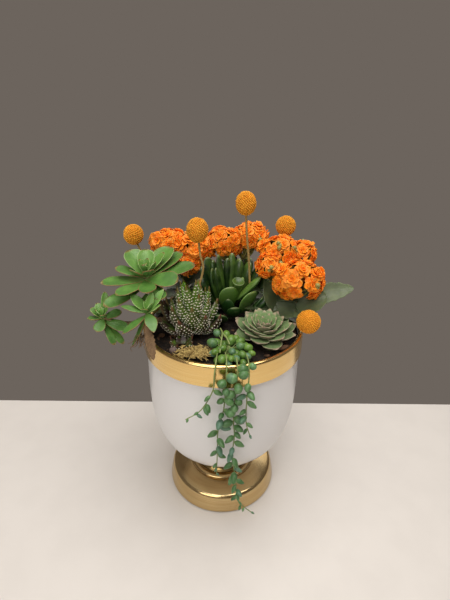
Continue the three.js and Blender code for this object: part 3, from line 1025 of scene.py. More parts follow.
@dataclass
class TopDressing:
    """Potting soil with bark chips, a tuft of moss and a stone."""

    edge: float = 208.0
    mound: float = 5.0
    radius: float = 78.4
    dice: random.Random = field(default_factory=lambda: random.Random(11))

    def height(self, x: float, y: float) -> float:
        """Returns the soil's level at a place."""
        return self.edge + self.mound * (1 - (x * x + y * y) / 78**2)

    def soil(self) -> None:
        """Makes the crumbly soil: a lumpy top over the bowl's inside."""
        rng = np.random.default_rng(5)
        rings = [
            (0.5, 72),
            (11, 72),
            (11, 61),
            (28, 61),
            (44, 62.5),
            (60, 75),
            (70, 95),
            (76, 125),
            (78.4, 160),
            (78.4, 200),
        ]
        rings += [
            (r, None)
            for r in (
                78.4, 76.5, 74, 71, 68, 65, 61, 57, 53, 49, 45, 41, 37, 33, 29, 25, 21, 17, 13, 9, 5, 2
            )
        ]
        sides = 150
        angle = np.arange(sides) / sides * 2 * math.pi
        lumps = [
            (rng.uniform(-70, 70), rng.uniform(-70, 70), rng.uniform(2.5, 7), rng.uniform(-1.2, 2.4))
            for _ in range(260)
        ]
        rows = []
        for r, z in rings:
            x, y = r * np.cos(angle), r * np.sin(angle)
            if z is None:
                level = self.height(x, y)
                for cx, cy, size, tall in lumps:
                    level = level + tall * np.exp(-((x - cx) ** 2 + (y - cy) ** 2) / size**2)
                level = level + rng.uniform(-0.35, 0.35, sides)
            else:
                level = np.full(sides, float(z))
            rows.append(np.stack([x, y, level], -1))
        shells = Shells()
        shells.grid(np.array(rows))
        shells.piece("peat_soil", Crumb().make(), "soil", ("potting_soil",))

    def chips(self) -> None:
        """Makes the bark chips that lie on the soil."""
        shells = Shells()
        dice = self.dice
        for _ in range(150):
            angle, r = dice.uniform(0, 2 * math.pi), 76 * math.sqrt(dice.uniform(0.05, 1))
            x, y = r * math.cos(angle), r * math.sin(angle)
            if -34 < y + 60 < 14 and -46 < x < 34:
                continue
            size = dice.uniform(1.6, 4.6)
            spin = turn(dice.uniform(0, 360), dice.uniform(-25, 25), dice.uniform(-30, 30))
            radii = (size, size * dice.uniform(0.4, 0.7), size * dice.uniform(0.18, 0.35))
            shells.ball(np.array((x, y, self.height(x, y) + 1.4)), radii, spin, 4, 6, tone=dice.random())
        shells.ball(inside("bark_chip_right"), (6, 2.6, 1.7), turn(20, 6, 10), 5, 7, tone=0.2)
        shells.piece(
            "bark_chips",
            DryFibre("pine_bark", "#6a4a30", "#2c1d12").make(),
            "bark",
            ("bark_chip_right",),
            smooth=False,
        )

    def stone(self) -> None:
        """Makes the small pinkish stone on the left."""
        rng = np.random.default_rng(3)
        shells = Shells()
        shells.ball(inside("pebble_left"), (4.6, 3.8, 3.4), turn(20, 10, 0), 8, 12, tone=0.4)
        shells.points[0] = shells.points[0] + rng.normal(0, 0.18, shells.points[0].shape)
        skin = DryFibre("rough_stone", "#75645e", "#453934", 1.0, 3.0, 0.3, 0.8)
        shells.piece("pebble", skin.make(), "stone", ("pebble_left",))

    def moss(self) -> None:
        """Makes the tuft of dry golden moss: many short curled strands."""
        shells = Shells()
        dice = self.dice
        for _ in range(300):
            angle, spread = dice.uniform(0, 2 * math.pi), math.sqrt(dice.random())
            place = np.array((math.cos(angle), math.sin(angle), 0)) * half_size("moss_tuft") * spread
            start = inside("moss_tuft", z=0.2) + place + (0, 0, 2.5 * dice.random())
            reach, rise = dice.uniform(3, 8), dice.uniform(0.5, 4.5) * (1.1 - spread * 0.6)
            heading = dice.uniform(0, 2 * math.pi)
            side = dice.uniform(-3, 3)
            ahead = np.array((math.cos(heading), math.sin(heading), 0))
            across = np.array((-ahead[1], ahead[0], 0))
            line = [
                start,
                start + ahead * reach * 0.4 + across * side + (0, 0, rise),
                start + ahead * reach + (0, 0, rise * dice.uniform(0.2, 1.2)),
            ]
            shells.tube(
                spline([tuple(p) for p in line], 6), np.linspace(0.55, 0.25, 6), 5, tone=dice.random()
            )
        skin = DryFibre("dry_moss", "#d6bd78", "#6e5628", 1.0, 4.0, 0.1, 0.9)
        shells.piece("moss_strands", skin.make(), "moss", ("moss_tuft",))

    def build(self) -> None:
        """Makes everything that lies in the pot."""
        self.soil()
        self.chips()
        self.stone()
        self.moss()


# ---------------------------------------------------------------- zebra haworthia


@dataclass
class ZebraHaworthia:
    """A zebra haworthia: stiff pointed leaves that curve inwards, ridged with white tubercles."""

    heart: float = 0.36  # how far up its box the leaves start
    # where the small rosette is, in shares of the box
    offset: tuple[float, float, float] = (0.35, -0.1, 0.32)
    leaves: int = 29
    row_gap: float = 2.9  # from one band of tubercles to the next
    dot_gap: float = 2.5  # from one tubercle to the next in a band
    dot: float = 0.68  # radius of a tubercle

    def blade(self, inner: float, dice: random.Random) -> Blade:
        """A leaf's shape.

        Args:
            inner: How young it is, from 0 for the oldest to 1 for the youngest.
            dice: The source of chance.

        Returns:
            The leaf.
        """
        return Blade(
            length=29 + 19 * inner + dice.uniform(-2, 2),
            width=19.5 - 6.5 * inner,
            thickness=7.5 - 2.0 * inner,
            widest=0.34,
            root=0.75,
            round_tip=1.1,
            curl=66 - 60 * inner,
            bend=0.9,
            cup=0.12,
            keel=0.45,
            spike=1.0,
            sweep=dice.uniform(-6, 6),
            stations=16,
            sides=14,
        )

    def dots(
        self,
        shells: Shells,
        blade: Blade,
        root: np.ndarray,
        spin: np.ndarray,
        inner: float,
        dice: random.Random,
    ) -> None:
        """Adds the white tubercles of one leaf, in bands across it.

        Args:
            shells: Where they go.
            blade: The leaf.
            root: Where it is rooted.
            spin: Its rotation.
            inner: How young it is, from 0 to 1.
            dice: The source of chance.
        """
        rows = int(blade.length * 0.86 / self.row_gap)
        back = (math.pi * 1.04, math.pi * 1.96, 1.0)
        front = (math.pi * 0.1, math.pi * 0.9, 0.7)
        for row in range(rows):
            t = 0.1 + 0.84 * row / rows
            half = float(blade.outline(np.array(t)))
            for first, last, share in (back, front) if inner > 0.35 else (back,):
                count = max(1, round(half * 2.2 * share / self.dot_gap))
                for k in range(count):
                    angle = first + (last - first) * (k + 0.5 + dice.uniform(-0.15, 0.15)) / count
                    at = t + dice.uniform(-0.008, 0.008)
                    place = blade.surface(np.array(at), np.array(angle))
                    out = blade.surface(np.array(at), np.array(angle), 1.0) - place
                    out = (out / np.linalg.norm(out)) @ spin.T
                    size = self.dot * dice.uniform(0.75, 1.25) * (0.65 + 0.35 * min(1, half / 4))
                    wide = 1.75 if inner > 0.5 else 1.2
                    side = spin[:, 1] - out * (spin[:, 1] @ out)
                    side /= np.linalg.norm(side)
                    frame = np.stack([side, np.cross(out, side), out], 1)
                    shells.ball(
                        place @ spin.T + root,
                        (size * wide, size, size * 0.6),
                        frame,
                        3,
                        6,
                        tone=dice.random(),
                    )

    def rosette(
        self,
        green: Shells,
        pearls: Shells,
        centre: np.ndarray,
        leaves: int,
        size: float,
        dice: random.Random,
        youth: float = 1.0,
    ) -> None:
        """Adds one rosette.

        Args:
            green: Where the leaves go.
            pearls: Where the tubercles go.
            centre: The middle of its foot.
            leaves: How many leaves it has.
            size: Its size, where 1 is the grown plant.
            dice: The source of chance.
            youth: How young its heart is, from 0 to 1.
        """
        for i in range(leaves):
            inner = youth * i / (leaves - 1)
            grown = self.blade(inner, dice)
            blade = replace(
                grown,
                length=grown.length * size,
                width=grown.width * size,
                thickness=grown.thickness * size,
            )
            bearing = 64 + i * GOLDEN_ANGLE
            spin = turn(bearing, 2 + 80 * inner**0.8 + dice.uniform(-4, 4), dice.uniform(-6, 6))
            out = turn(bearing)[:, 0]
            root = np.array(centre) + out * (8.5 * (1 - inner) + 2.5) * size + (0, 0, 7 * inner * size)
            blade.add_to(
                green, root, spin, max(0.0, min(1.0, 1.3 - inner * 1.5 + dice.uniform(-0.08, 0.08)))
            )
            self.dots(pearls, blade, root, spin, inner, dice)

    def build(self) -> None:
        """Makes the plant and its offset: the leaves, and their tubercles."""
        dice = random.Random(21)
        green, pearls = Shells(), Shells()
        self.rosette(green, pearls, inside("haworthia_rosette", z=self.heart), self.leaves, 1.0, dice)
        self.rosette(green, pearls, inside("haworthia_rosette", *self.offset), 11, 0.36, dice, 0.2)
        skin = LeafSkin(
            name="haworthia_skin",
            body="#78b432",
            deep="#2a1813",
            under="#4e5c24",
            margin="#5a3a2c",
            margin_share=0.25,
            tip="#7a3a2a",
            tip_from=0.88,
            tip_share=0.6,
            # The near-black root colour over the lower part of each leaf is painted shade at the leaf
            # bases, deep in the rosette.
            root="#1f170f",
            root_to=0.3,
            root_share=0.7,
            rough=0.45,
            aged="#33201a",
            aged_share=0.9,
            glow=0.08,
        )
        green.piece("haworthia_leaves", skin.make(), "haworthia", ("haworthia_rosette",))
        white = LeafSkin(
            "tubercle_skin",
            "#eeeadb",
            "#d2cbb4",
            "#e9e5d4",
            "#f0ecdf",
            rough=0.5,
            root="#eeeadb",
            tip="#eeeadb",
            glow=0.1,
        )
        pearls.piece("haworthia_tubercles", white.make(), "haworthia")


# ---------------------------------------------------------------- echeveria


@dataclass
class Echeveria:
    """An echeveria: a tight spiral of broad pointed leaves with a grey bloom and thin pale margins."""

    heart: float = 0.52  # how far up its box the leaves start
    leaves: int = 46
    radius: float = 33.0

    def build(self) -> None:
        """Makes the rosette."""
        dice = random.Random(8)
        shells = Shells()
        lean = np.array(Matrix.Rotation(math.radians(8), 3, "X"))
        for i in range(self.leaves):
            inner = i / (self.leaves - 1)
            pitch = -4 + 70 * inner**1.15
            reach = self.radius * (1 - inner) ** 0.8 + 1.5
            blade = Blade(
                length=min(reach / math.cos(math.radians(min(pitch, 72))), 34) + dice.uniform(-0.8, 0.8),
                width=17.5 * (1 - inner) ** 0.6 + 3.5,
                thickness=4.8 - 2.4 * inner,
                widest=0.7,
                root=0.45,
                round_tip=1.5,
                curl=34 - 16 * inner,
                bend=1.7,
                cup=0.2,
                keel=0.3,
                spike=1.6,
                stations=14,
                sides=16,
            )
            spin = lean @ turn(10 + i * GOLDEN_ANGLE, pitch + dice.uniform(-3, 3), dice.uniform(-5, 5))
            root = inside("echeveria_rosette", z=self.heart) + lean @ np.array((0, 0, 4.5 * inner))
            blade.add_to(shells, root, spin, min(1.0, dice.uniform(0, 0.3) + 0.75 * (1 - inner) ** 1.5))
        skin = LeafSkin(
            name="echeveria_bloom",
            body="#7d9a62",
            deep="#465238",
            under="#7d7262",
            margin="#cbbba4",
            margin_from=0.94,
            margin_share=0.8,
            tip="#b9988a",
            tip_from=0.95,
            tip_share=0.6,
            root="#5f7450",
            rough=0.55,
            mottle=0.3,
            wax=0.0,
            glow=0.1,
            mottle_mm=6,
        )
        shells.piece("echeveria_leaves", skin.make(), "echeveria", ("echeveria_rosette",))


# ---------------------------------------------------------------- aeonium


@dataclass
class Aeonium:
    """An aeonium: a large spoon-leaved rosette on a corky stem, with two small ones on side shoots."""

    # bearing, pitch, length, width, curl, roll and how high above the centre each leaf of a rosette starts
    top: tuple = (
        (-171, -5, 43, 21, 10, -8, 0),
        (-148, -23, 47, 17, 22, -14, -4),
        (-124, -11, 37, 17, 12, -6, 0),
        (-78, -7, 31, 17, 14, 0, 0),
        (-17, 3, 34, 20, 4, 22, 1),
        (-48, -15, 32, 15, 10, 8, -3),
        (18, 9, 50, 19, 2, 16, 1),
        (40, 17, 47, 19, 4, 12, 2),
        (52, 27, 42, 24, 4, 6, 3),
        (76, -5, 32, 19, 6, 0, -2),
        (112, -11, 30, 19, 6, 0, -2),
        (146, -13, 34, 18, 6, 0, -2),
        (172, 11, 31, 13, 10, -16, 3),
        (132, 34, 33, 23, 12, -4, 3),
        (92, 48, 27, 17, 8, 0, 4),
        (36, 36, 28, 11, 14, 10, 5),
        (-140, 18, 19, 12, 30, 0, 4),
        (-60, 20, 18, 12, 30, 0, 5),
        (-10, 40, 17, 10, 24, 0, 6),
        (150, 56, 15, 9, 16, 0, 6),
        (60, 62, 14, 9, 16, 0, 7),
        (-100, 56, 11, 7, 20, 0, 7),
        (10, 74, 9, 6, 14, 0, 8),
        (130, 78, 8, 5, 14, 0, 8),
    )
    left: tuple = (
        (163, 34, 15, 11, 6, 0, 0),
        (122, 48, 16, 8, 4, 0, 0),
        (20, 12, 19, 12, 6, 20, 0),
        (-92, -30, 16, 12, 10, 0, 0),
        (-44, -50, 27, 9, 6, 0, -2),
        (-22, -46, 30, 8, 8, 30, -3),
        (-14, -12, 28, 12, 8, 24, -2),
        (80, 58, 27, 7, -6, 20, -1),
        (-168, 0, 14, 10, 16, 0, 0),
        (60, 40, 12, 7, 16, 0, 2),
        (-60, 20, 10, 7, 30, 0, 2),
        (-150, 40, 9, 6, 30, 0, 3),
        (100, 70, 8, 5, 10, 0, 3),
    )
    middle: tuple = (
        (180, 14, 25, 8, 6, -20, 0),
        (150, 34, 24, 12, 6, 0, 0),
        (60, 62, 20, 8, 10, 30, 1),
        (36, 46, 27, 9, -4, 30, 0),
        (10, 26, 15, 11, 10, 0, 0),
        (-141, -26, 29, 12, 10, 10, -2),
        (-62, -16, 24, 12, -14, 0, 0),
        (100, 20, 24, 12, 10, 0, 0),
        (-148, -66, 36, 8, 10, 0, -1),
        (-100, 30, 12, 7, 20, 0, 1),
        (-20, 50, 11, 6, 16, 0, 2),
        (140, 66, 10, 5, 10, 0, 2),
    )

    def rosette(
        self,
        name: str,
        leaves: tuple,
        heart: tuple[float, float, float],
        node: str,
        skin: bpy.types.Material,
        pointed: bool = False,
    ) -> None:
        """Makes one rosette from its list of leaves.

        Args:
            name: The piece's name.
            leaves: Bearing, pitch, length, width, curl, roll and height of each leaf.
            heart: Where the rosette's heart is, in shares of its node's box.
            node: The CAD node that it stands for.
            skin: The leaves' material.
            pointed: Whether its leaves are pointed and finely toothed.
        """
        dice = random.Random(len(leaves))
        shells = Shells()
        for bearing, pitch, length, width, curl, roll, height in leaves:
            young = max(0.0, min(1.0, (pitch - 10) / 60))
            blade = Blade(
                length=length,
                width=width,
                thickness=2.6,
                widest=0.55 if pointed else 0.7,
                root=0.26,
                round_tip=1.35 if pointed else 2.1,
                notches=0.35 if pointed else 0.0,
                teeth=9.0,
                curl=curl,
                bend=1.2,
                cup=0.2 + 0.25 * young,
                keel=0.2,
                spike=0.5,
                wave=0.25,
                sweep=dice.uniform(-9, 9),
                twist=dice.uniform(-10, 10),
                stations=40 if pointed else 18,
                sides=18,
            )
            root = inside(node, *heart) + (0, 0, height)
            blade.add_to(
                shells, root, turn(bearing, pitch, roll), 0.85 - 0.75 * young + dice.uniform(-0.1, 0.15)
            )
        shells.piece(name, skin, "aeonium", (node,))

    def stems(self) -> None:
        """Makes the corky stem and its two side shoots, with the rings that old leaves left."""
        shells = Shells()
        for points, thick, thin in (
            ([(-55, -8, 196), (-57, -8, 222), (-66, -8, 245), (-75.5, -11, 272)], 3.6, 2.4),
            ([(-60, -9, 224), (-80, -19, 226), (-100, -24, 227), (-118.5, -27, 235)], 2.6, 1.7),
            ([(-58, -10, 220), (-64, -24, 230), (-71.5, -42, 248)], 2.6, 1.7),
        ):
            line = spline(points, 60)
            share = np.linspace(0, 1, 60)
            rings = 1 + 0.13 * np.clip(np.sin(share * 2 * math.pi * 16), 0, 1)
            shells.tube(line, (thick + (thin - thick) * share) * rings, 12, tone=0.4)
        skin = DryFibre("corky_stem", "#93805c", "#4b3b27", 0.9, 6, 0.25, 0.85)
        shells.piece("aeonium_stems", skin.make(), "bark", ("aeonium_stem",))

    def dry_bits(self) -> None:
        """Makes the withered toothed leaf over the rim and the wiry dry roots beside it."""
        dice = random.Random(4)
        shells = Shells()
        leaf = Blade(
            32,
            10,
            0.9,
            widest=0.5,
            root=0.5,
            round_tip=1.6,
            curl=16,
            cup=0.2,
            wave=0.8,
            notches=1.1,
            teeth=8,
            stations=40,
            sides=12,
        )
        leaf.add_to(shells, np.array((-69, -57, 243)), turn(-62, -74, 6), 0.2)
        for _ in range(24):
            start = np.array(
                (-78 + dice.uniform(-4, 6), -46 + dice.uniform(-5, 5), 226 + dice.uniform(-3, 3))
            )
            ends = [start]
            for _ in range(3):
                ends.append(
                    ends[-1] + (dice.uniform(-4.5, 2), dice.uniform(-4, 1), dice.uniform(-4.5, 0.5))
                )
            shells.tube(
                spline([tuple(p) for p in ends], 12), np.linspace(0.45, 0.2, 12), 5, tone=dice.random()
            )
        skin = DryFibre("withered_leaf", "#8d7252", "#4f3a2a", 0.9, 5, 0.2, 0.85)
        shells.piece("withered_bits", skin.make(), "bark")

    def build(self) -> None:
        """Makes the whole plant."""
        skin = LeafSkin(
            name="aeonium_skin",
            body="#78a64c",
            deep="#305e24",
            under="#4c7434",
            margin="#b4cc86",
            margin_old="#a4564a",
            margin_from=0.9,
            margin_share=0.85,
            tip="#a8604f",
            tip_from=0.96,
            tip_share=0.5,
            root="#94bd66",
            rough=0.42,
            wax=0.15,
            glow=0.12,
            mottle_mm=9,
            mottle=0.25,
        ).make()
        self.rosette("aeonium_top_leaves", self.top, (0.5, 0.45, 0.13), "aeonium_rosette_top", skin)
        self.rosette("aeonium_left_leaves", self.left, (0.53, 0.57, 0.28), "aeonium_rosette_left", skin)
        self.rosette(
            "aeonium_middle_leaves", self.middle, (0.5, 0.5, 0.55), "aeonium_rosette_middle", skin, True
        )
        self.stems()
        self.dry_bits()


# ---------------------------------------------------------------- finger jade


class JadeForm(Enum):
    """The kinds of leaf on the finger jade."""

    FINGER = "finger"
    TRUMPET = "trumpet"
    PADDLE = "paddle"


@dataclass
class FingerJade:
    """A finger jade: glossy dark finger leaves, one with a hollow tip, and rounder paddles in front."""

    # form, root, bearing, pitch, length, width, curl and shade; the shade is painted shade, which darkens
    # low and hidden leaves towards the near-black deep green
    leaves: tuple = (
        (JadeForm.FINGER, (1, 18, 238), 150, 76, 47, 8.5, 8, 0.85),
        (JadeForm.FINGER, (-2, 20, 236), 140, 66, 42, 9, 12, 1.0),
        (JadeForm.FINGER, (4, 21, 238), 100, 84, 42, 8.5, 6, 1.0),
        (JadeForm.FINGER, (8, 20, 240), 88, 80, 45, 9, 4, 0.8),
        (JadeForm.FINGER, (13, 18, 238), 60, 78, 42, 11, 8, 0.9),
        (JadeForm.FINGER, (-1, 14, 234), 150, 72, 38, 9, 10, 1.0),
        (JadeForm.FINGER, (18, 16, 236), 40, 70, 42, 12, 8, 0.85),
        (JadeForm.FINGER, (22, 16, 234), 20, 62, 44, 13, 8, 1.0),
        (JadeForm.FINGER, (14, 8, 240), -6, 44, 36, 9.5, 8, 0.45),
        (JadeForm.FINGER, (12, 4, 244), 40, 60, 22, 6, 4, 0.3),
        (JadeForm.TRUMPET, (12, 12, 236), -72, 70, 28, 13, 0, 0.8),
        (JadeForm.PADDLE, (-6, 14, 234), 168, 76, 38, 15, 8, 0.95),
        (JadeForm.PADDLE, (28, 18, 232), 12, 58, 42, 15, 8, 1.0),
        (JadeForm.PADDLE, (3, 8, 226), -74, 68, 34, 21, 6, 0.0),
        (JadeForm.PADDLE, (19, 6, 226), -52, 58, 33, 20, 6, 0.0),
        (JadeForm.PADDLE, (6, 10, 220), -110, 58, 28, 17, 12, 1.0),
        (JadeForm.PADDLE, (26, 10, 222), -30, 48, 30, 16, 12, 1.0),
        (JadeForm.PADDLE, (10, 10, 218), -84, 40, 24, 16, 20, 1.0),
        (JadeForm.FINGER, (-6, 14, 226), 172, 58, 40, 12, 10, 1.0),
        (JadeForm.FINGER, (-10, 16, 236), 160, 62, 38, 10, 10, 1.0),
        (JadeForm.FINGER, (-12, 10, 222), -170, 44, 32, 12, 10, 1.0),
        (JadeForm.FINGER, (-4, 2, 218), -120, 40, 26, 12, 14, 1.0),
        (JadeForm.FINGER, (24, 6, 222), -14, 40, 32, 13, 12, 1.0),
        (JadeForm.PADDLE, (-12, 20, 240), 120, 70, 40, 13, 6, 1.0),
        (JadeForm.PADDLE, (20, 22, 242), 50, 70, 38, 13, 6, 1.0),
        (JadeForm.PADDLE, (-2, 0, 216), -96, 34, 26, 16, 22, 1.0),
    )

    def shape(self, form: JadeForm, length: float, width: float, curl: float) -> Blade:
        """The shape of a leaf.

        Args:
            form: Its kind.
            length: Its length.
            width: Its width.
            curl: How many degrees it turns up on its way to the tip.

        Returns:
            The leaf.
        """
        if form is JadeForm.PADDLE:
            return Blade(
                length,
                width,
                6.0,
                widest=0.64,
                root=0.32,
                round_tip=2.3,
                curl=curl,
                keel=0.2,
                stations=18,
                sides=18,
            )
        return Blade(
            length,
            width,
            width * 0.8,
            widest=0.72,
            root=0.5,
            round_tip=2.0,
            curl=curl,
            stations=18,
            sides=16,
        )

    def trumpet(
        self,
        shells: Shells,
        root: np.ndarray,
        spin: np.ndarray,
        length: float,
        width: float,
    ) -> None:
        """Adds a leaf that ends in a shallow hollow with a raised rim.

        Args:
            shells: Where it goes.
            root: Its root.
            spin: Its rotation.
            length: Its length.
            width: The width of its mouth.
        """
        radius = width / 2
        steps = [(0, 0.5), (0.3, 0.56), (0.6, 0.68), (0.8, 0.84), (0.92, 0.97), (0.98, 1.0), (1.0, 0.95)]
        steps += [(1.005, 0.86), (0.985, 0.74), (0.955, 0.5), (0.94, 0.2)]
        angle = np.arange(20) / 20 * 2 * math.pi
        rows = np.array(
            [
                [(t * length, radius * r * math.cos(a), radius * r * math.sin(a)) for a in angle]
                for t, r in steps
            ]
        )
        along = np.array(
            [0.1, 0.3, 0.5, 0.7, 0.85, 0.95, 0.97, 0.92, 0.7, 0.6, 0.5]
        )[:, None] * np.ones((1, 20))
        shells.grid(rows @ spin.T + root, along=along, top=1.0, tone=0.8, edge=0.0)

    def build(self) -> None:
        """Makes the stem and its leaves."""
        shells = Shells()
        shells.tube(
            spline([(8, 20, 196), (8.5, 19, 226), (9, 17, 242)], 20),
            np.linspace(5.2, 3.6, 20),
            12,
            tone=0.9,
            along=0.3,
        )
        for form, root, bearing, pitch, length, width, curl, tone in self.leaves:
            spin = turn(bearing, pitch, 0)
            if form is JadeForm.TRUMPET:
                self.trumpet(shells, np.array(root, float), spin, length, width)
            else:
                self.shape(form, length, width, curl).add_to(shells, np.array(root, float), spin, tone)
        skin = LeafSkin(
            name="jade_skin",
            body="#86b04a",
            # Near-black deep green: painted shade, brought in by each leaf's shade value.
            deep="#0e2609",
            under="#21451a",
            margin="#86a860",
            margin_old="#4d6a3c",
            margin_from=0.94,
            margin_share=0.5,
            tip="#8c9a62",
            tip_from=0.95,
            tip_share=0.5,
            root="#234a19",
            root_share=0.3,
            rough=0.36,
            wax=0.3,
            glow=0.06,
            mottle_mm=12,
            mottle=0.2,
            shade=0.85,
        )
        shells.piece("jade_leaves", skin.make(), "jade", ("finger_jade",))


# ---------------------------------------------------------------- kalanchoe


@dataclass(frozen=True)
class Umbel:
    """One dome of florets. Its middle is in shares of its head's box, and its half sizes in millimetres."""

    centre: tuple[float, float, float]
    radii: tuple[float, float, float]
    florets: int
    low: float = -0.2


@dataclass(frozen=True)
class FlowerHead:
    """One head of double florets: several umbels on forked stalks.

    The fork and the foot are in shares of the node's box.
    """

    name: str
    node: str
    umbels: tuple[Umbel, ...]
    fork: tuple[float, float, float]
    foot: tuple[float, float]
    seed: int


@dataclass
class Kalanchoe:
    """Three kalanchoe plants: heads of ruffled orange double florets over scalloped grey-green leaves."""

    floret: float = 18.5  # width of a floret
    rooted: float = 196.0  # height at which a stalk leaves its roots
    straight_to: float = 222.0  # height to which it stands straight
    heads: tuple = (
        FlowerHead(
            "kalanchoe_left",
            "kalanchoe_left_flowers",
            (
                Umbel((0.3, 0.43, 0.84), (25, 20, 18), 14, -0.4),
                Umbel((0.69, 0.34, 0.79), (26, 21, 21), 18, -0.5),
                Umbel((0.64, 0.12, 0.65), (15, 13, 14), 8, -0.5),
            ),
            (0.53, 0.36, 0.52),
            (0.57, 0.33),
            3,
        ),
        FlowerHead(
            "kalanchoe_middle",
            "kalanchoe_middle_flowers",
            (
                Umbel((0.235, 0.34, 0.81), (24, 20, 20), 15, -0.5),
                Umbel((0.7, 0.395, 0.86), (24, 20, 20), 15, -0.4),
            ),
            (0.47, 0.38, 0.56),
            (0.47, 0.34),
            5,
        ),
        FlowerHead(
            "kalanchoe_right",
            "kalanchoe_right_flowers",
            (
                Umbel((0.33, 0.59, 0.88), (25, 19, 19), 13, -0.5),
                Umbel((0.16, 0.38, 0.77), (17, 15, 17), 8, -0.7),
                Umbel((0.58, 0.26, 0.64), (30, 22, 26), 23, -0.8),
                Umbel((0.63, 0.56, 0.83), (21, 17, 19), 10, -0.4),
            ),
            (0.41, 0.47, 0.52),
            (0.27, 0.5),
            9,
        ),
    )

    def flower(
        self,
        shells: Shells,
        centre: np.ndarray,
        out: np.ndarray,
        size: float,
        dice: random.Random,
    ) -> None:
        """Adds one double floret: whorls of petals that stand up more towards its heart.

        Args:
            shells: Where it goes.
            centre: The middle of its face.
            out: Which way it faces.
            size: Its width.
            dice: The source of chance.
        """
        base = upright_to(out) @ turn(dice.uniform(0, 360))
        foot = centre - out * size * 0.26
        # petals, pitch, reach and width of each whorl, the last two as shares of the floret's width
        whorls = ((6, -2, 0.56, 0.46), (6, 20, 0.46, 0.42), (5, 42, 0.36, 0.36), (3, 66, 0.26, 0.26))
        for count, pitch, reach, width in whorls:
            phase = dice.uniform(0, 360)
            for k in range(count):
                blade = Blade(
                    length=size * reach * dice.uniform(0.88, 1.12),
                    width=size * width * dice.uniform(0.9, 1.12),
                    thickness=0.55,
                    widest=0.66,
                    root=0.26,
                    round_tip=2.1,
                    curl=dice.uniform(-34, -4),
                    bend=1.8,
                    cup=0.3,
                    wave=0.35,
                    waves=dice.uniform(1.0, 2.0),
                    stations=8,
                    sides=8,
                )
                spread = (
                    phase + 360 * k / count + dice.uniform(-7, 7),
                    pitch + dice.uniform(-6, 6),
                    dice.uniform(-14, 14),
                )
                # Inner whorls take more of the deep orange: painted shade deep in the floret, on top of a
                # random tone.
                blade.add_to(
                    shells, foot, base @ turn(*spread), dice.uniform(0, 0.7) + 0.3 * (0.54 - reach) / 0.32
                )

    def umbel(
        self,
        head: FlowerHead,
        umbel: Umbel,
        petals: Shells,
        stalks: Shells,
        dice: random.Random,
    ) -> None:
        """Adds one umbel's florets, buds and rays.

        Args:
            head: The head that it belongs to.
            umbel: Its sizes.
            petals: Where the petals go.
            stalks: Where the rays and buds go.
            dice: The source of chance.
        """
        centre, radii = inside(head.node, *umbel.centre), np.array(umbel.radii, float)
        split = inside(head.node, *head.fork)
        fork = (split + centre - (0, 0, radii[2] * 0.9)) / 2
        stalks.tube(spline([tuple(split), tuple(fork)], 8), 1.8, 8, tone=0.5, along=0.5)
        for i in range(umbel.florets):
            height = 0.97 - (0.97 - umbel.low) * i / (umbel.florets - 1)
            flat = math.sqrt(1 - height * height)
            angle = math.radians(head.seed * 40 + i * GOLDEN_ANGLE + dice.uniform(-8, 8))
            way = np.array((flat * math.cos(angle), flat * math.sin(angle), height))
            size = self.floret * dice.uniform(0.84, 1.03)
            at = centre + way * (radii - 2.5) * dice.uniform(0.93, 1.05)
            out = way / radii
            out = out / np.linalg.norm(out) + np.array([dice.uniform(-0.2, 0.2) for _ in range(3)])
            out /= np.linalg.norm(out)
            self.flower(petals, at, out, size, dice)
            heel = at - out * size * 0.26
            middle = (heel + fork) / 2 + (0, 0, -3)
            stalks.tube(
                spline([tuple(fork), tuple(middle), tuple(heel - out * 4), tuple(heel)], 10),
                np.linspace(1.1, 0.8, 10),
                6,
                tone=0.5,
                along=0.5,
            )
            stalks.ball(heel - out * 1.6, (2.1, 2.1, 3.4), upright_to(out), 5, 8, tone=0.4)
        for _ in range(2):
            start, height = dice.uniform(0, 2 * math.pi), dice.uniform(-0.1, 0.7)
            flat = math.sqrt(1 - height * height)
            way = np.array((flat * math.cos(start), flat * math.sin(start), height))
            for _ in range(3):
                beside = np.array([dice.uniform(-3.2, 3.2) for _ in range(3)])
                at = centre + way * (radii - 4.5) + beside
                stalks.ball(
                    at, (2.3, 2.3, 2.7), upright_to(way), 6, 8, 0.25, tone=dice.uniform(0, 0.5), along=0.8
                )
                stalks.tube(
                    spline([tuple(fork), tuple((fork + at) / 2), tuple(at)], 8), 0.7, 5, tone=0.4, along=0.5
                )

    def head(self, head: FlowerHead, petal: bpy.types.Material, green: bpy.types.Material) -> None:
        """Makes one flower head, with its buds and forked stalks.

        Args:
            head: The head's sizes.
            petal: The petals' material.
            green: The stalks' and buds' material.
        """
        dice = random.Random(head.seed)
        petals, stalks = Shells(), Shells()
        x, y = inside(head.node, *head.foot)[:2]
        split = tuple(inside(head.node, *head.fork))
        stalks.tube(
            spline([(x, y, self.rooted), (x, y, self.straight_to), split], 24), 2.4, 10, tone=0.5, along=0.5
        )
        for umbel in head.umbels:
            self.umbel(head, umbel, petals, stalks, dice)
        petals.piece(f"{head.name}_petals", petal, "petal", (head.node,))
        stalks.piece(f"{head.name}_stalks", green, "leaf")

